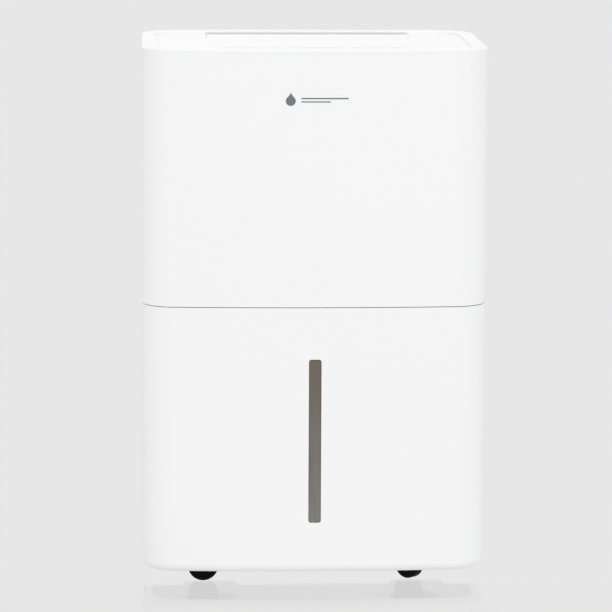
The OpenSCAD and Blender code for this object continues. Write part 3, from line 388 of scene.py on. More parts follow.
# colour, roughness, colour drift, grain scale, grain depth in metres, dust
FINISH = {
    "shell_white": plastic("white shell plastic", (0.90, 0.90, 0.905), 0.38, 0.008),
    "trim_white": plastic("white trim plastic", (0.84, 0.845, 0.85), 0.42, 0.015, dust=0.04),
    "button_grey": plastic("button plastic", (0.88, 0.885, 0.89), 0.36, 0.01),
    "frame_grey": plastic("grey frame plastic", (0.50, 0.51, 0.52), 0.55, 0.04, 700.0, 0.00005, 0.12),
    "handle_grey": plastic("handle plastic", (0.58, 0.59, 0.60), 0.4, 0.02, 900.0, 0.00004),
    "float_white": plastic("foamed float", (0.86, 0.86, 0.82), 0.7, 0.05, 500.0, 0.0001),
    "filter_grey": plastic("filter plastic", (0.16, 0.165, 0.175), 0.5, 0.03, 900.0, 0.00004, 0.25),
    "fan_grey": plastic("fan plastic", (0.09, 0.095, 0.10), 0.45, 0.03, 900.0, 0.00003, 0.35),
    "rubber_black": plastic("black rubber", (0.028, 0.028, 0.029), 0.72, 0.10, 1100.0, 0.00006, 0.08),
    "caster_black": plastic(
        "caster plastic", (0.010, 0.010, 0.011), 0.42, 0.06, 900.0, 0.00003, Specular_IOR_Level=0.2
    ),
    "wheel_black": plastic(
        "wheel tread", (0.003, 0.003, 0.003), 0.6, 0.08, 700.0, 0.00005, Specular_IOR_Level=0.08
    ),
    "display_white": plastic("display lens", (0.84, 0.845, 0.85), 0.12, 0.0, 1400.0, 0.000002, Coat_Weight=0.6),
    "tub_clear": plastic("translucent tub", (0.80, 0.84, 0.88), 0.34, 0.02, 900.0, 0.00003, Alpha=0.62),
}
print("plastics:", len(FINISH))

# %% [markdown]
# The level window is a smoked, slightly brown strip. Its colour is graded by height with painted shade: it is
# darkest at its top, where only the shaded bay lies behind it, and paler towards the bottom. Faint warm streaks run
# down it, and a thin line of painted shade darkens it along the edge of its opening. The opening is a little
# narrower than the strip, which laps behind it all round.

# %% Smoked window
LIP, WINDOW_TRIM, WINDOW_LIFT = 3 * MM, 0.6 * MM, 0.5 * MM
window_low, window_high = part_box("tank_window")
WINDOW_W = window_high.x - window_low.x - 2 * LIP - WINDOW_TRIM
WINDOW_H = window_high.z - window_low.z - 2 * LIP
WINDOW_MID = (window_low.z + window_high.z) / 2 + WINDOW_LIFT
# painted shade: a thin darker band along the sides and ends of the window's opening
SIDE_SHADE_BAND, END_SHADE_BAND, EDGE_SHADE_TONE = 1.2 * MM, 1.4 * MM, 0.62
# smoke tints: the darker head is painted shade for the shaded bay behind the top of the window
SMOKE_FOOT, SMOKE_HEAD_PAINTED_SHADE, SMOKE_STREAK = (0.226, 0.220, 0.204), (0.139, 0.116, 0.090), (0.165, 0.128, 0.098)


def smoked_material():
    """Smoked clear plastic, graded between two tones by painted shade, with a painted shade line along the opening's
    edge.
    """
    material, nodes, links = plain_material("smoked window")
    tree = material.node_tree
    shader = nodes["Principled BSDF"]
    place = axes(tree, object_place(tree))
    height = ranged(tree, place["Z"], window_low.z, window_high.z)
    # painted shade: the tint grades from the paler foot up to the darker head
    tint_with_painted_shade = two_tone(tree, height, (0.0, SMOKE_FOOT), (1.0, SMOKE_HEAD_PAINTED_SHADE))
    streak = math_node(tree, "MULTIPLY_ADD", noise_node(tree, 150.0, 2.0, (1, 1, 0.12)), 2.6, -1.0)
    streak.node.use_clamp = True
    tone = mixed(tree, streak, tint_with_painted_shade, (*SMOKE_STREAK, 1))
    aside = math_node(tree, "ABSOLUTE", place["X"])
    above = math_node(tree, "ABSOLUTE", math_node(tree, "SUBTRACT", place["Z"], WINDOW_MID))
    # painted shade along the sides and ends of the opening
    side_shade = ranged(tree, aside, WINDOW_W / 2 - SIDE_SHADE_BAND, WINDOW_W / 2, 1.0, EDGE_SHADE_TONE)
    ends = ranged(tree, above, WINDOW_H / 2 - END_SHADE_BAND, WINDOW_H / 2, 1.0, EDGE_SHADE_TONE)
    shade = math_node(tree, "MULTIPLY", side_shade, ends)
    links.new(scaled_colour(tree, tone, shade), shader.inputs["Base Color"])
    textured(tree, group_node(tree, MOULDED, Roughness=0.16, Grain_Scale=600.0), 0.000008, shader)
    shader.inputs["Alpha"].default_value = 0.9
    return material


FINISH["smoked_clear"] = smoked_material()
print("window opening:", round(WINDOW_W / MM, 1), "x", round(WINDOW_H / MM, 1))

# %% [markdown]
# The metals are inside: copper pipe that has dulled in patches, thin aluminium fins with streaks from the press,
# black enamel on the compressor, and bright steel for the screws and the fan's shaft.

# %% Metals, enamel and circuit board
def metal(name, colour, tarnish, rough, streak=(1, 1, 1), scale=60.0, metallic=1.0, dust=0.0):
    """A metal whose colour and gloss vary between a clean tone and a tarnished one."""
    material, nodes, links = plain_material(name)
    tree = material.node_tree
    shader = nodes["Principled BSDF"]
    tone = group_node(tree, TARNISH, Clean=(*colour, 1), Tarnished=(*tarnish, 1), Scale=scale, Stretch=streak)
    links.new(dusted(tree, tone.outputs["Colour"], dust), shader.inputs["Base Color"])
    textured(tree, group_node(tree, MOULDED, Roughness=rough, Roughness_Spread=0.2, Grain_Scale=900.0), 0.00002, shader)
    shader.inputs["Metallic"].default_value = metallic
    return material


FINISH["copper"] = metal("copper pipe", (0.80, 0.42, 0.26), (0.45, 0.22, 0.14), 0.3)
FINISH["coil_metal"] = metal(
    "aluminium fins", (0.80, 0.81, 0.82), (0.55, 0.56, 0.57), 0.34, (1, 1, 0.05), 300.0, dust=0.2
)
FINISH["steel"] = metal("bright steel", (0.62, 0.62, 0.63), (0.40, 0.40, 0.41), 0.28, (1, 0.05, 1), 900.0)
FINISH["can_metal"] = metal("capacitor can", (0.76, 0.77, 0.79), (0.60, 0.61, 0.62), 0.4, (1, 1, 0.1), 200.0)
FINISH["black_enamel"] = metal(
    "black enamel", (0.020, 0.020, 0.022), (0.035, 0.035, 0.036), 0.3, scale=400.0, metallic=0.0, dust=0.15
)


def board_material():
    """Green solder mask over a web of copper tracks."""
    material, nodes, links = plain_material("circuit board")
    tree = material.node_tree
    shader = nodes["Principled BSDF"]
    tracks = nodes.new("ShaderNodeTexVoronoi")
    tracks.feature = "DISTANCE_TO_EDGE"
    tracks.distance = "MANHATTAN"
    tracks.inputs["Scale"].default_value = 160.0
    links.new(object_place(tree), tracks.inputs["Vector"])
    web = two_tone(tree, tracks.outputs["Distance"], (0.04, (0.05, 0.22, 0.08)), (0.07, (0.012, 0.085, 0.03)))
    links.new(web, shader.inputs["Base Color"])
    shader.inputs["Roughness"].default_value = 0.35
    bump(tree, tracks.outputs["Distance"], 0.0001, shader)
    return material


FINISH["board_green"] = board_material()
print("finishes:", len(FINISH), "for", len(set(SLOT_OF.values())), "slots")

# %% [markdown]
# ## Outline of the casing
#
# Seen from above, the casing is a rectangle with round corners and a front that bows out a little. Both shells,
# the rim and the tank's face follow that one outline, so it is worked out once as stations: a point and the
# direction that faces out of the wall there. Moving every point in by the same inset keeps the wall even.

# %% Casing outline
FRONT_R, REAR_R, BOW = 40 * MM, 50 * MM, 6 * MM
WALL, EDGE_R = 2.5 * MM, 10 * MM
HALF_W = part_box("rear_housing")[1].x
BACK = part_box("rear_housing")[1].y
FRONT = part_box("front_housing")[0].y
SEAM_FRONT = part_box("front_housing")[1].y
SEAM_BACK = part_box("rear_housing")[0].y
CHORD = HALF_W - FRONT_R
BOW_R = (CHORD**2 + BOW**2) / (2 * BOW)
BOW_Y = FRONT + BOW_R
BOW_A = math.asin(CHORD / (BOW_R - FRONT_R))
CORNER_Y = BOW_Y - (BOW_R - FRONT_R) * math.cos(BOW_A)


def arc(x, y, radius, start, end, steps):
    """Stations round an arc, angles in radians."""
    stations = []
    for i in range(steps + 1):
        a = start + (end - start) * i / steps
        stations.append((x + radius * math.cos(a), y + radius * math.sin(a), math.cos(a), math.sin(a)))
    return stations


def front_stations():
    """From the seam on the left side, round the front, to the seam on the right."""
    down = math.radians(270)
    return (
        [(-HALF_W, SEAM_FRONT, -1, 0)]
        + arc(-CHORD, CORNER_Y, FRONT_R, math.pi, down - BOW_A, 20)
        + arc(0, BOW_Y, BOW_R, down - BOW_A, down + BOW_A, 40)[1:-1]
        + arc(CHORD, CORNER_Y, FRONT_R, down + BOW_A, math.radians(360), 20)
        + [(HALF_W, SEAM_FRONT, 1, 0)]
    )


def rear_stations():
    """From the seam on the right side, round the back, to the seam on the left."""
    x, y = HALF_W - REAR_R, BACK - REAR_R
    return (
        [(HALF_W, SEAM_BACK, 1, 0)]
        + arc(x, y, REAR_R, 0, math.radians(90), 22)
        + arc(-x, y, REAR_R, math.radians(90), math.pi, 22)
        + [(-HALF_W, SEAM_BACK, -1, 0)]
    )


def at(station, inset, z):
    """The point of a station at an inset and a height."""
    x, y, nx, ny = station
    return (x - inset * nx, y - inset * ny, z)


print("outline: half width", round(HALF_W, 4), "bow radius", round(BOW_R, 3))

# %% [markdown]
# ## Building a skin from rings
#
# A shell is a profile carried round the outline, and a pocket is a rounded rectangle carried along its depth.
# Both are the same job: join rings of points with quads, and close the two ends. The piece is finished with small
# bevels, because a moulded edge is never sharp, and with weighted normals, which keep the big faces flat.

# %% Rings, cuts and finishing
def loft(rings, ends="cap"):
    """Joins rings of points into one closed skin. Ends are capped, or joined to each other."""
    bm = bmesh.new()
    rows = [[bm.verts.new(p) for p in ring] for ring in rings]
    count = len(rows[0])
    pairs = list(zip(rows, rows[1:] + rows[:1] if ends == "join" else rows[1:]))
    for a, b in pairs:
        for i in range(count):
            j = (i + 1) % count
            bm.faces.new((a[i], a[j], b[j], b[i]))
    if ends == "cap":
        bm.faces.new(rows[0])
        bm.faces.new(rows[-1])
    bmesh.ops.recalc_face_normals(bm, faces=bm.faces)
    return bm


def as_object(bm, name, material=None):
    """Turns a bmesh into a linked object with one material."""
    mesh = bpy.data.meshes.new(name)
    bm.to_mesh(mesh)
    bm.free()
    if material:
        mesh.materials.append(material)
    piece = bpy.data.objects.new(name, mesh)
    bpy.context.scene.collection.objects.link(piece)
    return piece


def evaluated(piece):
    """What a piece's modifiers make of it, as a new plain mesh."""
    depsgraph = bpy.context.evaluated_depsgraph_get()
    return bpy.data.meshes.new_from_object(piece.evaluated_get(depsgraph), depsgraph=depsgraph)


def bake(piece):
    """Replaces a piece's mesh by what its modifiers make of it."""
    mesh = evaluated(piece)
    piece.modifiers.clear()
    piece.data = mesh
    return piece


def cut(piece, cutters):
    """Takes each cutter out of the piece and deletes the cutters."""
    for cutter in cutters:
        tool = piece.modifiers.new("cut", "BOOLEAN")
        tool.object = cutter
        tool.solver = "EXACT"
    bake(piece)
    for cutter in cutters:
        bpy.data.objects.remove(cutter)
    return piece


BEVEL_OVER, CREASE_OVER = math.radians(34), math.radians(46)


def soften(piece, width=0.0005, segments=2):
    """Rounds the sharp edges by a small width and smooths the rest. A width of 0 only smooths."""
    if width:
        edge = piece.modifiers.new("edges", "BEVEL")
        edge.width = width
        edge.segments = segments
        edge.limit_method = "ANGLE"
        edge.angle_limit = BEVEL_OVER
        edge.use_clamp_overlap = True
        edge.miter_outer = "MITER_ARC"
        bake(piece)
    for face in piece.data.polygons:
        face.use_smooth = True
    piece.data.set_sharp_from_angle(angle=CREASE_OVER)
    normals = piece.modifiers.new("normals", "WEIGHTED_NORMAL")
    normals.keep_sharp = True
    normals.mode = "FACE_AREA"
    return bake(piece)


def joined(name, *pieces):
    """Several finished pieces as one object."""
    bm = bmesh.new()
    for piece in pieces:
        bm.from_mesh(piece.data)
    for piece in pieces:
        bpy.data.objects.remove(piece)
    return as_object(bm, name)


MADE = []


def settle(piece, node, slot=None):
    """The finished piece stands for its CAD node and rides on its body, in the node's finish or in another."""
    slot = slot or SLOT_OF[node]
    piece.data.materials.clear()
    piece.data.materials.append(FINISH[slot])
    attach(piece, BODY_OF[node])
    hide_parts(node)
    MADE.append(piece.name)
    return piece


def rounded_rectangle(width, height, radius, steps=6):
    """Points of a rounded rectangle about the origin, as (across, up) pairs."""
    points = []
    for k, (sx, sy) in enumerate(((1, 1), (-1, 1), (-1, -1), (1, -1))):
        x, y = sx * (width / 2 - radius), sy * (height / 2 - radius)
        for i in range(steps + 1):
            a = math.radians(90) * (k + i / steps)
            points.append((x + radius * math.cos(a), y + radius * math.sin(a)))
    return points


def upright_ring(x, z, width, height, radius, y):
    """A rounded rectangle standing up at a distance y."""
    return [(x + u, y, z + v) for u, v in rounded_rectangle(width, height, radius)]


def flat_ring(x, y, width, depth, radius, z):
    """A rounded rectangle lying flat at a height z."""
    return [(x + u, y + v, z) for u, v in rounded_rectangle(width, depth, radius)]


def swept(name, stations, profile):
    """A closed profile of (inset, height) pairs carried along stations."""
    return as_object(loft([[at(s, inset, z) for inset, z in profile] for s in stations]), name)


def eased_foot(z, radius, steps=6):
    """Profile points of a rounded lower outer edge, from the underside up to the outer face."""
    turns = [math.radians(90 * i / steps) for i in range(steps + 1)]
    return [(radius - radius * math.sin(a), z + radius - radius * math.cos(a)) for a in turns]


def eased_head(z, radius, steps=6):
    """Profile points of a rounded upper outer edge, from the outer face up to the top."""
    turns = [math.radians(90 * i / steps) for i in range(steps + 1)]
    return [(radius - radius * math.cos(a), z - radius + radius * math.sin(a)) for a in turns]


# %% [markdown]
# ## Upper front shell
#
# This is the big plain panel above the tank. It is a wall 2.5 mm thick with a flange turned in along its lower
# edge, where it looks down on the tank. The edge along the open seam is eased, and the top edge stays crisp
# because it meets the rim with no gap.

# %% Upper front shell
low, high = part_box("front_housing")
FLANGE = 12 * MM
EASE = 0.35 * MM
SEAM_DRESS = 0.2 * MM
foot = low.z - SEAM_DRESS
profile = [(0, high.z), (WALL, high.z), (WALL, foot + WALL), (WALL + FLANGE, foot + WALL), (WALL + FLANGE, foot)]
profile += eased_foot(foot, EASE)
front_shell = soften(swept("front_shell", front_stations(), profile), 0.0003)
settle(front_shell, "front_housing")
print("front shell:", len(front_shell.data.polygons), "faces")

# %% [markdown]
# ## Tank face
#
# The face of the tank is the lower half of the front. Its bottom edge has the big soft radius that makes the
# cabinet look lighter where it meets the floor, so that radius follows the outline all the way round. The window
# is cut through with a tall rounded cutter.

# %% Tank face
low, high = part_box("tank_front")
head = high.z + SEAM_DRESS
profile = eased_head(head, EASE)
profile += [(WALL + FLANGE, head), (WALL + FLANGE, head - WALL), (WALL, head - WALL)]
profile += [(WALL + u, z) for u, z in eased_foot(low.z + WALL, EDGE_R - WALL)[::-1]]
profile += [(EDGE_R + 2 * MM, low.z + WALL), (EDGE_R + 2 * MM, low.z)]
profile += eased_foot(low.z, EDGE_R, 10)
WINDOW_R = 2.9 * MM
opening = [upright_ring(0, WINDOW_MID, WINDOW_W, WINDOW_H, WINDOW_R, y) for y in (FRONT - 5 * MM, FRONT + 20 * MM)]
tank_face = cut(swept("tank_face", front_stations(), profile), [as_object(loft(opening), "window cutter")])
settle(soften(tank_face, 0.0004), "tank_front")
print("tank face:", len(tank_face.data.polygons), "faces")

# %% [markdown]
# ## Top
#
# The top is one tray: a rim that stands proud all round, and a lid that is let in a few millimetres. Rings of the
# casing's outline, each drawn in a little more, give the rim its two rounded edges, and the middle is closed flat.
# The openings for the outlet and the control panel are cut afterwards.

# %% Top cover
low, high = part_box("top_cover")
flap_low, flap_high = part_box("outlet_flap")
panel_low, panel_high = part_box("control_panel")
RIM_W, RIM_T, LID_DROP, CROWN = 17 * MM, 3 * MM, 3.5 * MM, 2.4 * MM
RIM_Z, LID_Z = high.z - RIM_T, high.z - LID_DROP
SKIRT_IN, SKIRT_OUT = WALL + 2.3 * MM, WALL + 0.3 * MM
CUT_REACH = 6 * MM
OUTLET_X = (flap_high.x - flap_low.x) / 2 - 3.75 * MM
OUTLET_BACK, OUTLET_FRONT = BACK - RIM_W, flap_low.y - 0.4 * MM
PANEL_W, PANEL_D = 210 * MM, 46 * MM


def lid_cutter(name, low_y, high_y, width, radius):
    """A rounded block that cuts through the lid."""
    y, depth = (low_y + high_y) / 2, high_y - low_y
    rings = [flat_ring(0, y, width, depth, radius, z) for z in (LID_Z - CUT_REACH, LID_Z + CUT_REACH)]
    return as_object(loft(rings), name)


under = [(SKIRT_IN, LID_Z - WALL), (SKIRT_IN, low.z), (SKIRT_OUT, low.z), (SKIRT_OUT, RIM_Z)]
outer_edge = eased_head(high.z, CROWN, 8)
inner_edge = [(RIM_W - inset, z) for inset, z in reversed(outer_edge)]
fillet = [(RIM_W, LID_Z + 0.5 * MM), (RIM_W + 0.15 * MM, LID_Z + 0.15 * MM), (RIM_W + 0.5 * MM, LID_Z)]
rim = [(0, RIM_Z)] + outer_edge + inner_edge + fillet
around = front_stations() + rear_stations()
top = as_object(loft([[at(s, inset, z) for s in around] for inset, z in under + rim]), "top_tray")
seat_y = (panel_low.y + panel_high.y) / 2
hole = lid_cutter("outlet cutter", OUTLET_FRONT, OUTLET_BACK, 2 * OUTLET_X, 0.8 * MM)
seat = lid_cutter("panel cutter", seat_y - PANEL_D / 2, seat_y + PANEL_D / 2, PANEL_W, 8 * MM)
cut(top, [hole, seat])
settle(soften(top, 0.0004), "top_cover")
print("top:", len(top.data.polygons), "faces, lid at", round(LID_Z, 4))

# %% [markdown]
# ## Pieces that keep their modelled shape
#
# Many pieces already have the right shape in the frame and only lack a real edge. For those, the mesh is copied,
# its split corners are merged, flat areas are dissolved back to single faces, and every sharp edge gets a small
# bevel that suits the piece. A thick moulding takes a wider bevel than a stamped sheet.

# %% Softened copies
def copied(node):
    """The mesh of a CAD node as a clean bmesh."""
    bm = bmesh.new()
    bm.from_mesh(frame["nodes"][node].data)
    bmesh.ops.remove_doubles(bm, verts=bm.verts, dist=0.00001)
    bmesh.ops.dissolve_limit(bm, angle_limit=math.radians(1), verts=bm.verts, edges=bm.edges)
    bmesh.ops.recalc_face_normals(bm, faces=bm.faces)
    return bm


def softened(name, node, width, segments=2):
    """A copy of one CAD node with real edges."""
    return settle(soften(as_object(copied(node), name), width * MM, segments), node)


# name of the piece: its CAD node and the width of its bevels in millimetres
SOFT = {
    "rear_shell": ("rear_housing", 0.5), "flap_panel": ("outlet_flap", 0.5), "control_strip": ("control_panel", 0.3),
    "display_lens": ("display_window", 0.15), "level_window": ("tank_window", 0.3),
    "grip_cup_left": ("left_grip", 0.6), "grip_cup_right": ("right_grip", 0.6), "tub": ("tank_tub", 0.7),
    "tub_lid": ("tank_lid", 0.5), "bail": ("tank_handle", 1.2), "float_block": ("tank_float", 0.8),
    "pan": ("base_pan", 0.6), "deck": ("mid_deck", 0.4), "bay_wall": ("bulkhead", 0.5),
    "drip_tray": ("drain_pan", 0.5), "spout": ("drain_spout", 0.3), "hose": ("drain_hose", 0.3),
    "scroll": ("fan_scroll", 0.5), "duct": ("outlet_duct", 0.5), "motor": ("fan_motor", 0.8),
    "motor_shaft": ("fan_shaft", 0.3), "control_box": ("electronics_box", 0.6), "power_board": ("main_board", 0.15),
    "key_board": ("control_board", 0.15), "capacitor": ("run_capacitor", 0.5),
    "humidity_probe": ("humidity_sensor", 0.3), "float_switch": ("tank_switch", 0.3), "gland": ("cord_gland", 0.4),
    "shell_screws": ("housing_screws", 0.12), "compressor_shell": ("compressor", 0.8),
    "bushes": ("compressor_feet", 0.8), "filter_surround": ("filter_frame", 0.4),
}
for name, (node, width) in SOFT.items():
    softened(name, node, width)
for key in ("power", "mode", "fan", "timer", "down", "up"):
    softened("key_" + key, "button_" + key, 0.35, 3)
for corner in ("front_left", "front_right", "rear_left", "rear_right"):
    softened("caster_fork_" + corner, corner + "_fork", 0.5)
    softened("caster_wheel_" + corner, corner + "_wheel", 0.8, 3)
print("softened pieces:", len(MADE))

# %% [markdown]
# ## Repeated shapes and pipes
#
# Slats, fins, threads and blades are one shape repeated, so one node tree makes them all: it copies the shape it
# is given along a step, and turns each copy by a step of angle as well. A second tree runs a round tube along a
# path and rounds its corners. Both take their numbers from named inputs.

# %% Two node trees
def geometry_tree(name, inputs):
    """A node tree that takes and gives geometry, with the given extra inputs."""
    tree = bpy.data.node_groups.new(name, "GeometryNodeTree")
    tree.interface.new_socket("Geometry", in_out="INPUT", socket_type="NodeSocketGeometry")
    for label, kind in inputs:
        tree.interface.new_socket(label, in_out="INPUT", socket_type=kind)
    tree.interface.new_socket("Geometry", in_out="OUTPUT", socket_type="NodeSocketGeometry")
    return tree, tree.nodes.new("NodeGroupInput"), tree.nodes.new("NodeGroupOutput")


def end_tree(tree, geometry, given, made):
    """Ends a tree: its instances become real geometry, which takes the given material."""
    real = tree.nodes.new("GeometryNodeRealizeInstances")
    dressed = tree.nodes.new("GeometryNodeSetMaterial")
    tree.links.new(geometry, real.inputs["Geometry"])
    tree.links.new(real.outputs["Geometry"], dressed.inputs["Geometry"])
    tree.links.new(given.outputs["Material"], dressed.inputs["Material"])
    tree.links.new(dressed.outputs["Geometry"], made.inputs["Geometry"])


REPEAT, given, made = geometry_tree(
    "repeat a shape",
    [("Count", "NodeSocketInt"), ("Step", VECTOR), ("Turn", VECTOR), ("Material", "NodeSocketMaterial")],
)
line = REPEAT.nodes.new("GeometryNodeMeshLine")
line.mode = "OFFSET"
REPEAT.links.new(given.outputs["Count"], line.inputs["Count"])
REPEAT.links.new(given.outputs["Step"], line.inputs["Offset"])
index = REPEAT.nodes.new("GeometryNodeInputIndex").outputs[0]
place = REPEAT.nodes.new("GeometryNodeInstanceOnPoints")
REPEAT.links.new(line.outputs["Mesh"], place.inputs["Points"])
REPEAT.links.new(given.outputs["Geometry"], place.inputs["Instance"])
REPEAT.links.new(scaled_colour(REPEAT, given.outputs["Turn"], index), place.inputs["Rotation"])
end_tree(REPEAT, place.outputs["Instances"], given, made)

PIPE_SIDES, BEND_STEPS = 14, 6
PIPE, given, made = geometry_tree(
    "pipe along a path", [("Radius", FLOAT), ("Bend", FLOAT), ("Material", "NodeSocketMaterial")]
)
bend = PIPE.nodes.new("GeometryNodeFilletCurve")
bend.mode = "POLY"
bend.inputs["Count"].default_value = BEND_STEPS
bend.inputs["Limit Radius"].default_value = True
PIPE.links.new(given.outputs["Geometry"], bend.inputs["Curve"])
PIPE.links.new(given.outputs["Bend"], bend.inputs["Radius"])
ring = PIPE.nodes.new("GeometryNodeCurvePrimitiveCircle")
ring.inputs["Resolution"].default_value = PIPE_SIDES
PIPE.links.new(given.outputs["Radius"], ring.inputs["Radius"])
skin = PIPE.nodes.new("GeometryNodeCurveToMesh")
skin.inputs["Fill Caps"].default_value = True
PIPE.links.new(bend.outputs["Curve"], skin.inputs["Curve"])
PIPE.links.new(ring.outputs["Curve"], skin.inputs["Profile Curve"])
end_tree(PIPE, skin.outputs["Mesh"], given, made)


def add_tree(piece, tree, **values):
    """Adds the tree as a modifier and sets its inputs by identifier."""
    modifier = piece.modifiers.new(tree.name, "NODES")
    modifier.node_group = tree
    for item in tree.interface.items_tree:
        if item.in_out == "INPUT" and item.name in values:
            modifier[item.identifier] = values[item.name]
    return piece


def repeated(name, shape, count, step, slot, turn=(0.0, 0.0, 0.0)):
    """A bmesh shape repeated along a step, in the finish of a slot."""
    piece = as_object(shape, name)
    return bake(add_tree(piece, REPEAT, Count=count, Step=step, Turn=turn, Material=FINISH[slot]))


def tube(name, path, radius, bend_radius, slot):
    """A round tube along a path given in millimetres."""
    curve = bpy.data.curves.new(name + "_path", "CURVE")
    curve.dimensions = "3D"
    spline = curve.splines.new("POLY")
    spline.points.add(len(path) - 1)
    for point, (x, y, z) in zip(spline.points, path):
        point.co = (x * MM, y * MM, z * MM, 1)
    guide = bpy.data.objects.new(name + "_path", curve)
    bpy.context.scene.collection.objects.link(guide)
    add_tree(guide, PIPE, Radius=radius * MM, Bend=bend_radius * MM, Material=FINISH[slot])
    bm = bmesh.new()
    bm.from_mesh(evaluated(guide))
    bpy.data.objects.remove(guide)
    bmesh.ops.recalc_face_normals(bm, faces=bm.faces)
    return as_object(bm, name, FINISH[slot])


def block(low, high):
    """A box as a bmesh, corners in millimetres."""
    corners = [[low[i] * MM, high[i] * MM] for i in range(3)]
    bm = bmesh.new()
    points = [bm.verts.new((x, y, z)) for x in corners[0] for y in corners[1] for z in corners[2]]
    for face in ((0, 1, 3, 2), (4, 6, 7, 5), (0, 4, 5, 1), (2, 3, 7, 6), (0, 2, 6, 4), (1, 5, 7, 3)):
        bm.faces.new([points[i] for i in face])
    return bm


def slat(width, depth, height, steps=4):
    """A slat with rounded upper and lower edges, along X from 0, in millimetres."""
    outline = []
    radius = depth / 2
    for side, start in ((1, 0), (-1, math.pi)):
        for i in range(steps + 1):
            a = start + math.pi * i / steps
            rise = side * (height - depth) / 2 + radius * math.sin(a)
            outline.append((radius * math.cos(a) * MM, rise * MM))
    return loft([[(x, y, z) for y, z in outline] for x in (0, width * MM)])


def turned(profile, steps, place, ends="cap"):
    """A solid of revolution from (radius, distance along) pairs; place puts (across, aside, along) in space."""
    turns = [math.tau * i / steps for i in range(steps)]
    return loft([[place(r * math.cos(a), r * math.sin(a), along) for a in turns] for r, along in profile], ends)


def moved(bm, x, y, z):
    """A bmesh shifted by a distance in millimetres."""
    bmesh.ops.translate(bm, verts=bm.verts, vec=(x * MM, y * MM, z * MM))
    return bm


def box_mm(node):
    """The two corners of a CAD node in millimetres."""
    return [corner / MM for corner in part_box(node)]


print("node trees:", REPEAT.name, "and", PIPE.name)

# %% [markdown]
# ## Coils and pipes
#
# Each coil is one serpentine of tube through a pack of thin aluminium fins, held by two end plates. The pipes
# follow the same corners as the modelled ones, and their bends are rounded as a pipe bender leaves them.

# %% Coils
FINS, FIN_PITCH, FIN_X, FIN_T = 150, 2.0, -150, 0.22
PLATE_X, PLATE_T, PLATE_GAP = -151.5, 1.2, 301.6
TUBE_ROWS, TUBE_X, TUBE_MARGIN, TUBE_R, TUBE_BEND = 8, 162, 8, 4, 12
for name, node in (("cold_coil", "evaporator"), ("warm_coil", "condenser")):
    low, high = box_mm(node)
    fin = block((FIN_X, low.y, low.z), (FIN_X + FIN_T, high.y, high.z))
    fins = repeated(name + "_fins", fin, FINS, (FIN_PITCH * MM, 0, 0), "coil_metal")
    plate = block((PLATE_X, low.y, low.z), (PLATE_X + PLATE_T, high.y, high.z))
    plates = repeated(name + "_plates", plate, 2, (PLATE_GAP * MM, 0, 0), "coil_metal")
    settle(joined(name + "_fin_pack", fins, plates), node)
    path = []
    for row in range(TUBE_ROWS):
        z = low.z + TUBE_MARGIN + row * (high.z - low.z - 2 * TUBE_MARGIN) / (TUBE_ROWS - 1)
        end = TUBE_X if row % 2 == 0 else -TUBE_X
        path += [(x, (low.y + high.y) / 2, z) for x in (end, -end)]
    coil = settle(tube(name + "_tube", path, TUBE_R, TUBE_BEND, "copper"), node, "copper")
    for face in coil.data.polygons:
        face.use_smooth = True
print("coils: 2, with", FINS, "fins each")

# %% Pipes
DRIER_X, DRIER_Y = 97, 86.5
HELIX_R, HELIX_TOP, HELIX_DROP, HELIX_TURNS = 13, 134.5, 15, 3
helix = []
for a in [math.radians(12 * i) for i in range(91)]:
    drop = HELIX_DROP * a / (2 * math.pi * HELIX_TURNS)
    helix.append((DRIER_X + HELIX_R * math.cos(a), DRIER_Y + HELIX_R * math.sin(a), HELIX_TOP - drop))
# name of the piece: its CAD node, the pipe's radius, its bend radius, and the corners of its path
PIPES = {
    "discharge_line": (
        "discharge_pipe", 3.2, 9,
        [(46, 87.5, 212.5), (46, 87.5, 238.5), (46, 77.5, 238.5), (176, 77.5, 238.5)]
        + [(176, 77.5, 543), (176, 86.5, 543), (162, 86.5, 543)],
    ),
    "suction_line": (
        "suction_pipe", 4, 11,
        [(162, 114.5, 346), (176, 114.5, 346), (176, 114.5, 258.5)]
        + [(-53, 114.5, 258.5), (-53, 87.5, 258.5), (-53, 87.5, 167.5)],
    ),
    "liquid_line": (
        "filter_drier", 2.4, 10,
        [(162, 86.5, 346), (185, 86.5, 346), (185, 86.5, 226.5), (97, 86.5, 226.5), (97, 86.5, 196)],
    ),
    "capillary_coil": ("capillary_tube", 1.3, 2, [(97, 86.5, 148.5), (97, 86.5, 134.5)] + helix),
}
DRIER = [(2.6, 148.5), (3, 152), (8.2, 158), (9, 160), (9, 193), (8.2, 195), (3, 201), (2.6, 204.5)]


def beside_drier(across, aside, along):
    """A point about the drier's upright axis, in metres."""
    return ((DRIER_X + across) * MM, (DRIER_Y + aside) * MM, along * MM)


for name, (node, radius, bend_radius, path) in PIPES.items():
    piece = tube(name, path, radius, bend_radius, "copper")
    if node == "filter_drier":
        piece = joined(name, piece, as_object(turned(DRIER, 32, beside_drier), "can"))
    settle(soften(piece, 0), node)
print("pipes:", len(PIPES))

# %% [markdown]
# ## Fan
#
# The wheel is a hub and a back plate with a ring of thin curved blades, tied by a ring at the open side.

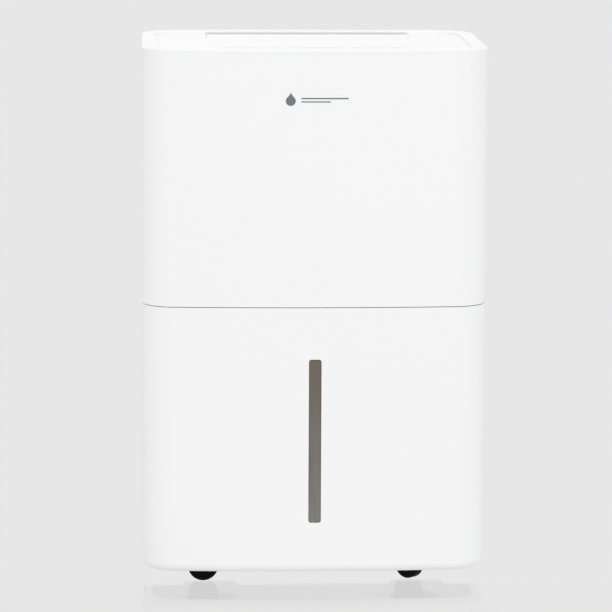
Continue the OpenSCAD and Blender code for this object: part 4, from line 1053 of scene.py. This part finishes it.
# %% Fan wheel
low, high = box_mm("fan_wheel")
FAN_Z, FAN_R = (low.z + high.z) / 2, (high.z - low.z) / 2
BLADES, BLADE_ROOM, BLADE_LONG, BLADE_HALF = 28, 14, 12.5, 0.6
curve = []
for t in [i / 6 for i in range(7)]:
    curve.append((FAN_R - BLADE_ROOM + BLADE_LONG * t, 5.5 * math.sin(math.pi * 0.75 * t) - 2))
outline = [(r, s + BLADE_HALF) for r, s in curve] + [(r, s - BLADE_HALF) for r, s in reversed(curve)]
blade = loft([[(r * MM, y * MM, s * MM) for r, s in outline] for y in (low.y + 1, high.y - 1)])
wheel = repeated("blades", blade, BLADES, (0, 0, 0), "fan_grey", (0, math.tau / BLADES, 0))
wheel.data.transform(Matrix.Translation((0, 0, FAN_Z * MM)))


def on_wheel(across, aside, along):
    """A point about the fan's axis, which runs along Y, in metres."""
    return (across * MM, along * MM, (FAN_Z + aside) * MM)


hub = [(FAN_R, low.y), (FAN_R, low.y + 2), (12, low.y + 2.5), (10.5, low.y + 22), (4, low.y + 22)]
hub = as_object(turned([(4, low.y)] + hub, 72, on_wheel, "join"), "back plate")
tie_in = FAN_R - BLADE_ROOM
tie = [(tie_in, high.y - 3), (FAN_R, high.y - 4), (FAN_R, high.y), (tie_in, high.y)]
tie = as_object(turned(tie, 72, on_wheel, "join"), "front ring")
settle(soften(joined("blower_wheel", wheel, soften(hub, 0.0004), soften(tie, 0.0004)), 0), "fan_wheel")
print("fan:", BLADES, "blades, radius", round(FAN_R, 1))

# %% [markdown]
# ## Grille, filter and outlet slats
#
# The intake grille is a flat moulded panel with three columns of bars. Behind it the filter is a woven net of thin
# threads. The outlet has a frame of upright slats under the flap.

# %% Intake grille
low, high = box_mm("intake_grille")
FACE_Y, GRILLE_W, GRILLE_H, GRILLE_Z = high.y, high.x - low.x, high.z - low.z, (high.z + low.z) / 2
BAR_PITCH, BAR_T, BAR_H, COLUMN_GAP, BARS_DOWN = 9, 2.3, 4.4, 6, 8
COLUMN = (GRILLE_W - 34) / 3
ROWS = int((GRILLE_H - 36) // BAR_PITCH)
SPAN = ROWS * BAR_PITCH - BAR_H


def panel(name, x, z, width, height, radius, y0, y1):
    """An upright rounded slab, in millimetres."""
    sizes = [v * MM for v in (x, z, width, height, radius)]
    return as_object(loft([upright_ring(*sizes, y * MM) for y in (y0, y1)]), name)


grille = panel("intake_panel", 0, GRILLE_Z, GRILLE_W, GRILLE_H, 7.4, FACE_Y - 2.5, FACE_Y)
middles = [c * (COLUMN + COLUMN_GAP) for c in (-1, 0, 1)]
through = (FACE_Y - 6, FACE_Y + 6)
holes = [panel("hole", x, GRILLE_Z - BARS_DOWN, COLUMN, SPAN, 2.2, *through) for x in middles]
holes.append(panel("pull", 0, GRILLE_Z + GRILLE_H / 2 - 13, 64, 12, 5, *through))
parts = [soften(cut(grille, holes), 0.0004)]
first_bar = GRILLE_Z - BARS_DOWN - (ROWS - 2) / 2 * BAR_PITCH
for x in middles:
    bar = moved(slat(COLUMN + 0.8, BAR_T, BAR_H), x - COLUMN / 2 - 0.4, FACE_Y - 1.25, first_bar)
    parts.append(soften(repeated("bars", bar, ROWS - 1, (0, 0, BAR_PITCH * MM), "trim_white"), 0))
for x, z in ((-1, -1), (-1, 1), (1, -1), (1, 1)):
    post_x, post_z = x * (GRILLE_W / 2 - 7), GRILLE_Z + z * (GRILLE_H / 2 - 7)
    parts.append(panel("post", post_x, post_z, 6, 6, 2.95, low.y, FACE_Y - 2.4))
settle(joined("intake_panel_bars", *parts), "intake_grille")
print("grille bars:", len(middles) * (ROWS - 1))

# %% Filter net
low, high = box_mm("filter_mesh")
THREAD = 2.6
across, up = int((high.x - low.x) // THREAD), int((high.z - low.z) // THREAD)
warp = block((low.x, low.y + 0.25, low.z), (low.x + 0.45, low.y + 0.6, high.z))
weft = block((low.x, low.y + 0.1, low.z), (high.x, low.y + 0.45, low.z + 0.45))
warp = repeated("warp", warp, across, (THREAD * MM, 0, 0), "filter_grey")
weft = repeated("weft", weft, up, (0, 0, THREAD * MM), "filter_grey")
settle(joined("filter_net", warp, weft), "filter_mesh")
print("net threads:", across + up)

# %% Outlet slats
low, high = box_mm("outlet_vanes")
VANES, VANE_T = 17, 1.6
vane_h = high.z - low.z - 1
pitch = (high.x - low.x - 7) / (VANES + 1)
solid = as_object(block((low.x, low.y, low.z), (high.x, high.y, high.z)), "slat frame")
inside = block((low.x + 2, low.y + 2, low.z - 1), (high.x - 2, high.y - 2, high.z + 1))
slat_frame = soften(cut(solid, [as_object(inside, "inside")]), 0.0003)
vane = slat(high.y - low.y - 3.6, VANE_T, vane_h)
bmesh.ops.rotate(vane, verts=vane.verts, cent=(0, 0, 0), matrix=Matrix.Rotation(math.radians(90), 3, "Z"))
moved(vane, low.x + 3.5 + pitch, low.y + 1.8, high.z - vane_h / 2)
vanes = soften(repeated("vanes", vane, VANES, (pitch * MM, 0, 0), "trim_white"), 0)
tie = block((low.x + 1.9, low.y + 24, low.z), (high.x - 1.9, low.y + 26, low.z + 3))
ties = soften(repeated("ties", tie, 2, (0, 23.3 * MM, 0), "trim_white"), 0.0002)
settle(joined("outlet_slats", slat_frame, vanes, ties), "outlet_vanes")
print("slats:", VANES)

# %% [markdown]
# ## A small printed mark
#
# The upper panel carries a small neutral mark, a drop beside two short lines. It is as thin as a print and follows
# the bow of the panel.

# %% Printed mark
MARK_Z = 559.5 * MM
PRINT = 0.12 * MM


def on_panel(u, v, lift):
    """The point of the bowed front at (across, up) in millimetres from the mark's middle, raised by lift."""
    x = u * MM
    return (x, BOW_Y - math.sqrt((BOW_R + lift) ** 2 - x * x), MARK_Z + v * MM)


def printed_line(start, end, low, high, steps=10):
    """A thin printed line that follows the bow, as cross-sections carried along it."""
    stops = [start + (end - start) * i / steps for i in range(steps + 1)]
    section = ((low, 0), (high, 0), (high, PRINT), (low, PRINT))
    return as_object(loft([[on_panel(u, v, lift) for v, lift in section] for u in stops]), "line")


DROP_U, DROP_V, DROP_R = -29, -1.2, 5.6
turns = [math.radians(150 + 12 * i) for i in range(21)]
drop = [(DROP_U + DROP_R * math.cos(a), DROP_V + DROP_R * math.sin(a)) for a in turns]
drop += [(-26.9, 4.6), (DROP_U, 8), (-31.1, 4.6)]
drop_piece = as_object(loft([[on_panel(u, v, lift) for u, v in drop] for lift in (-PRINT, PRINT)]), "drop")
mark = joined("front_mark", drop_piece, printed_line(-17, 36, 0.8, 2.3), printed_line(-17, 16, -2.9, -1.6))
mark.data.materials.append(plastic("mark print", (0.16, 0.165, 0.175), 0.35, 0.0))
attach(mark, "cabinet")
print("mark:", len(mark.data.polygons), "faces")

# %% Size
low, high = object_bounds()
print("visual box:", [round(v, 4) for v in (*low, *high)])
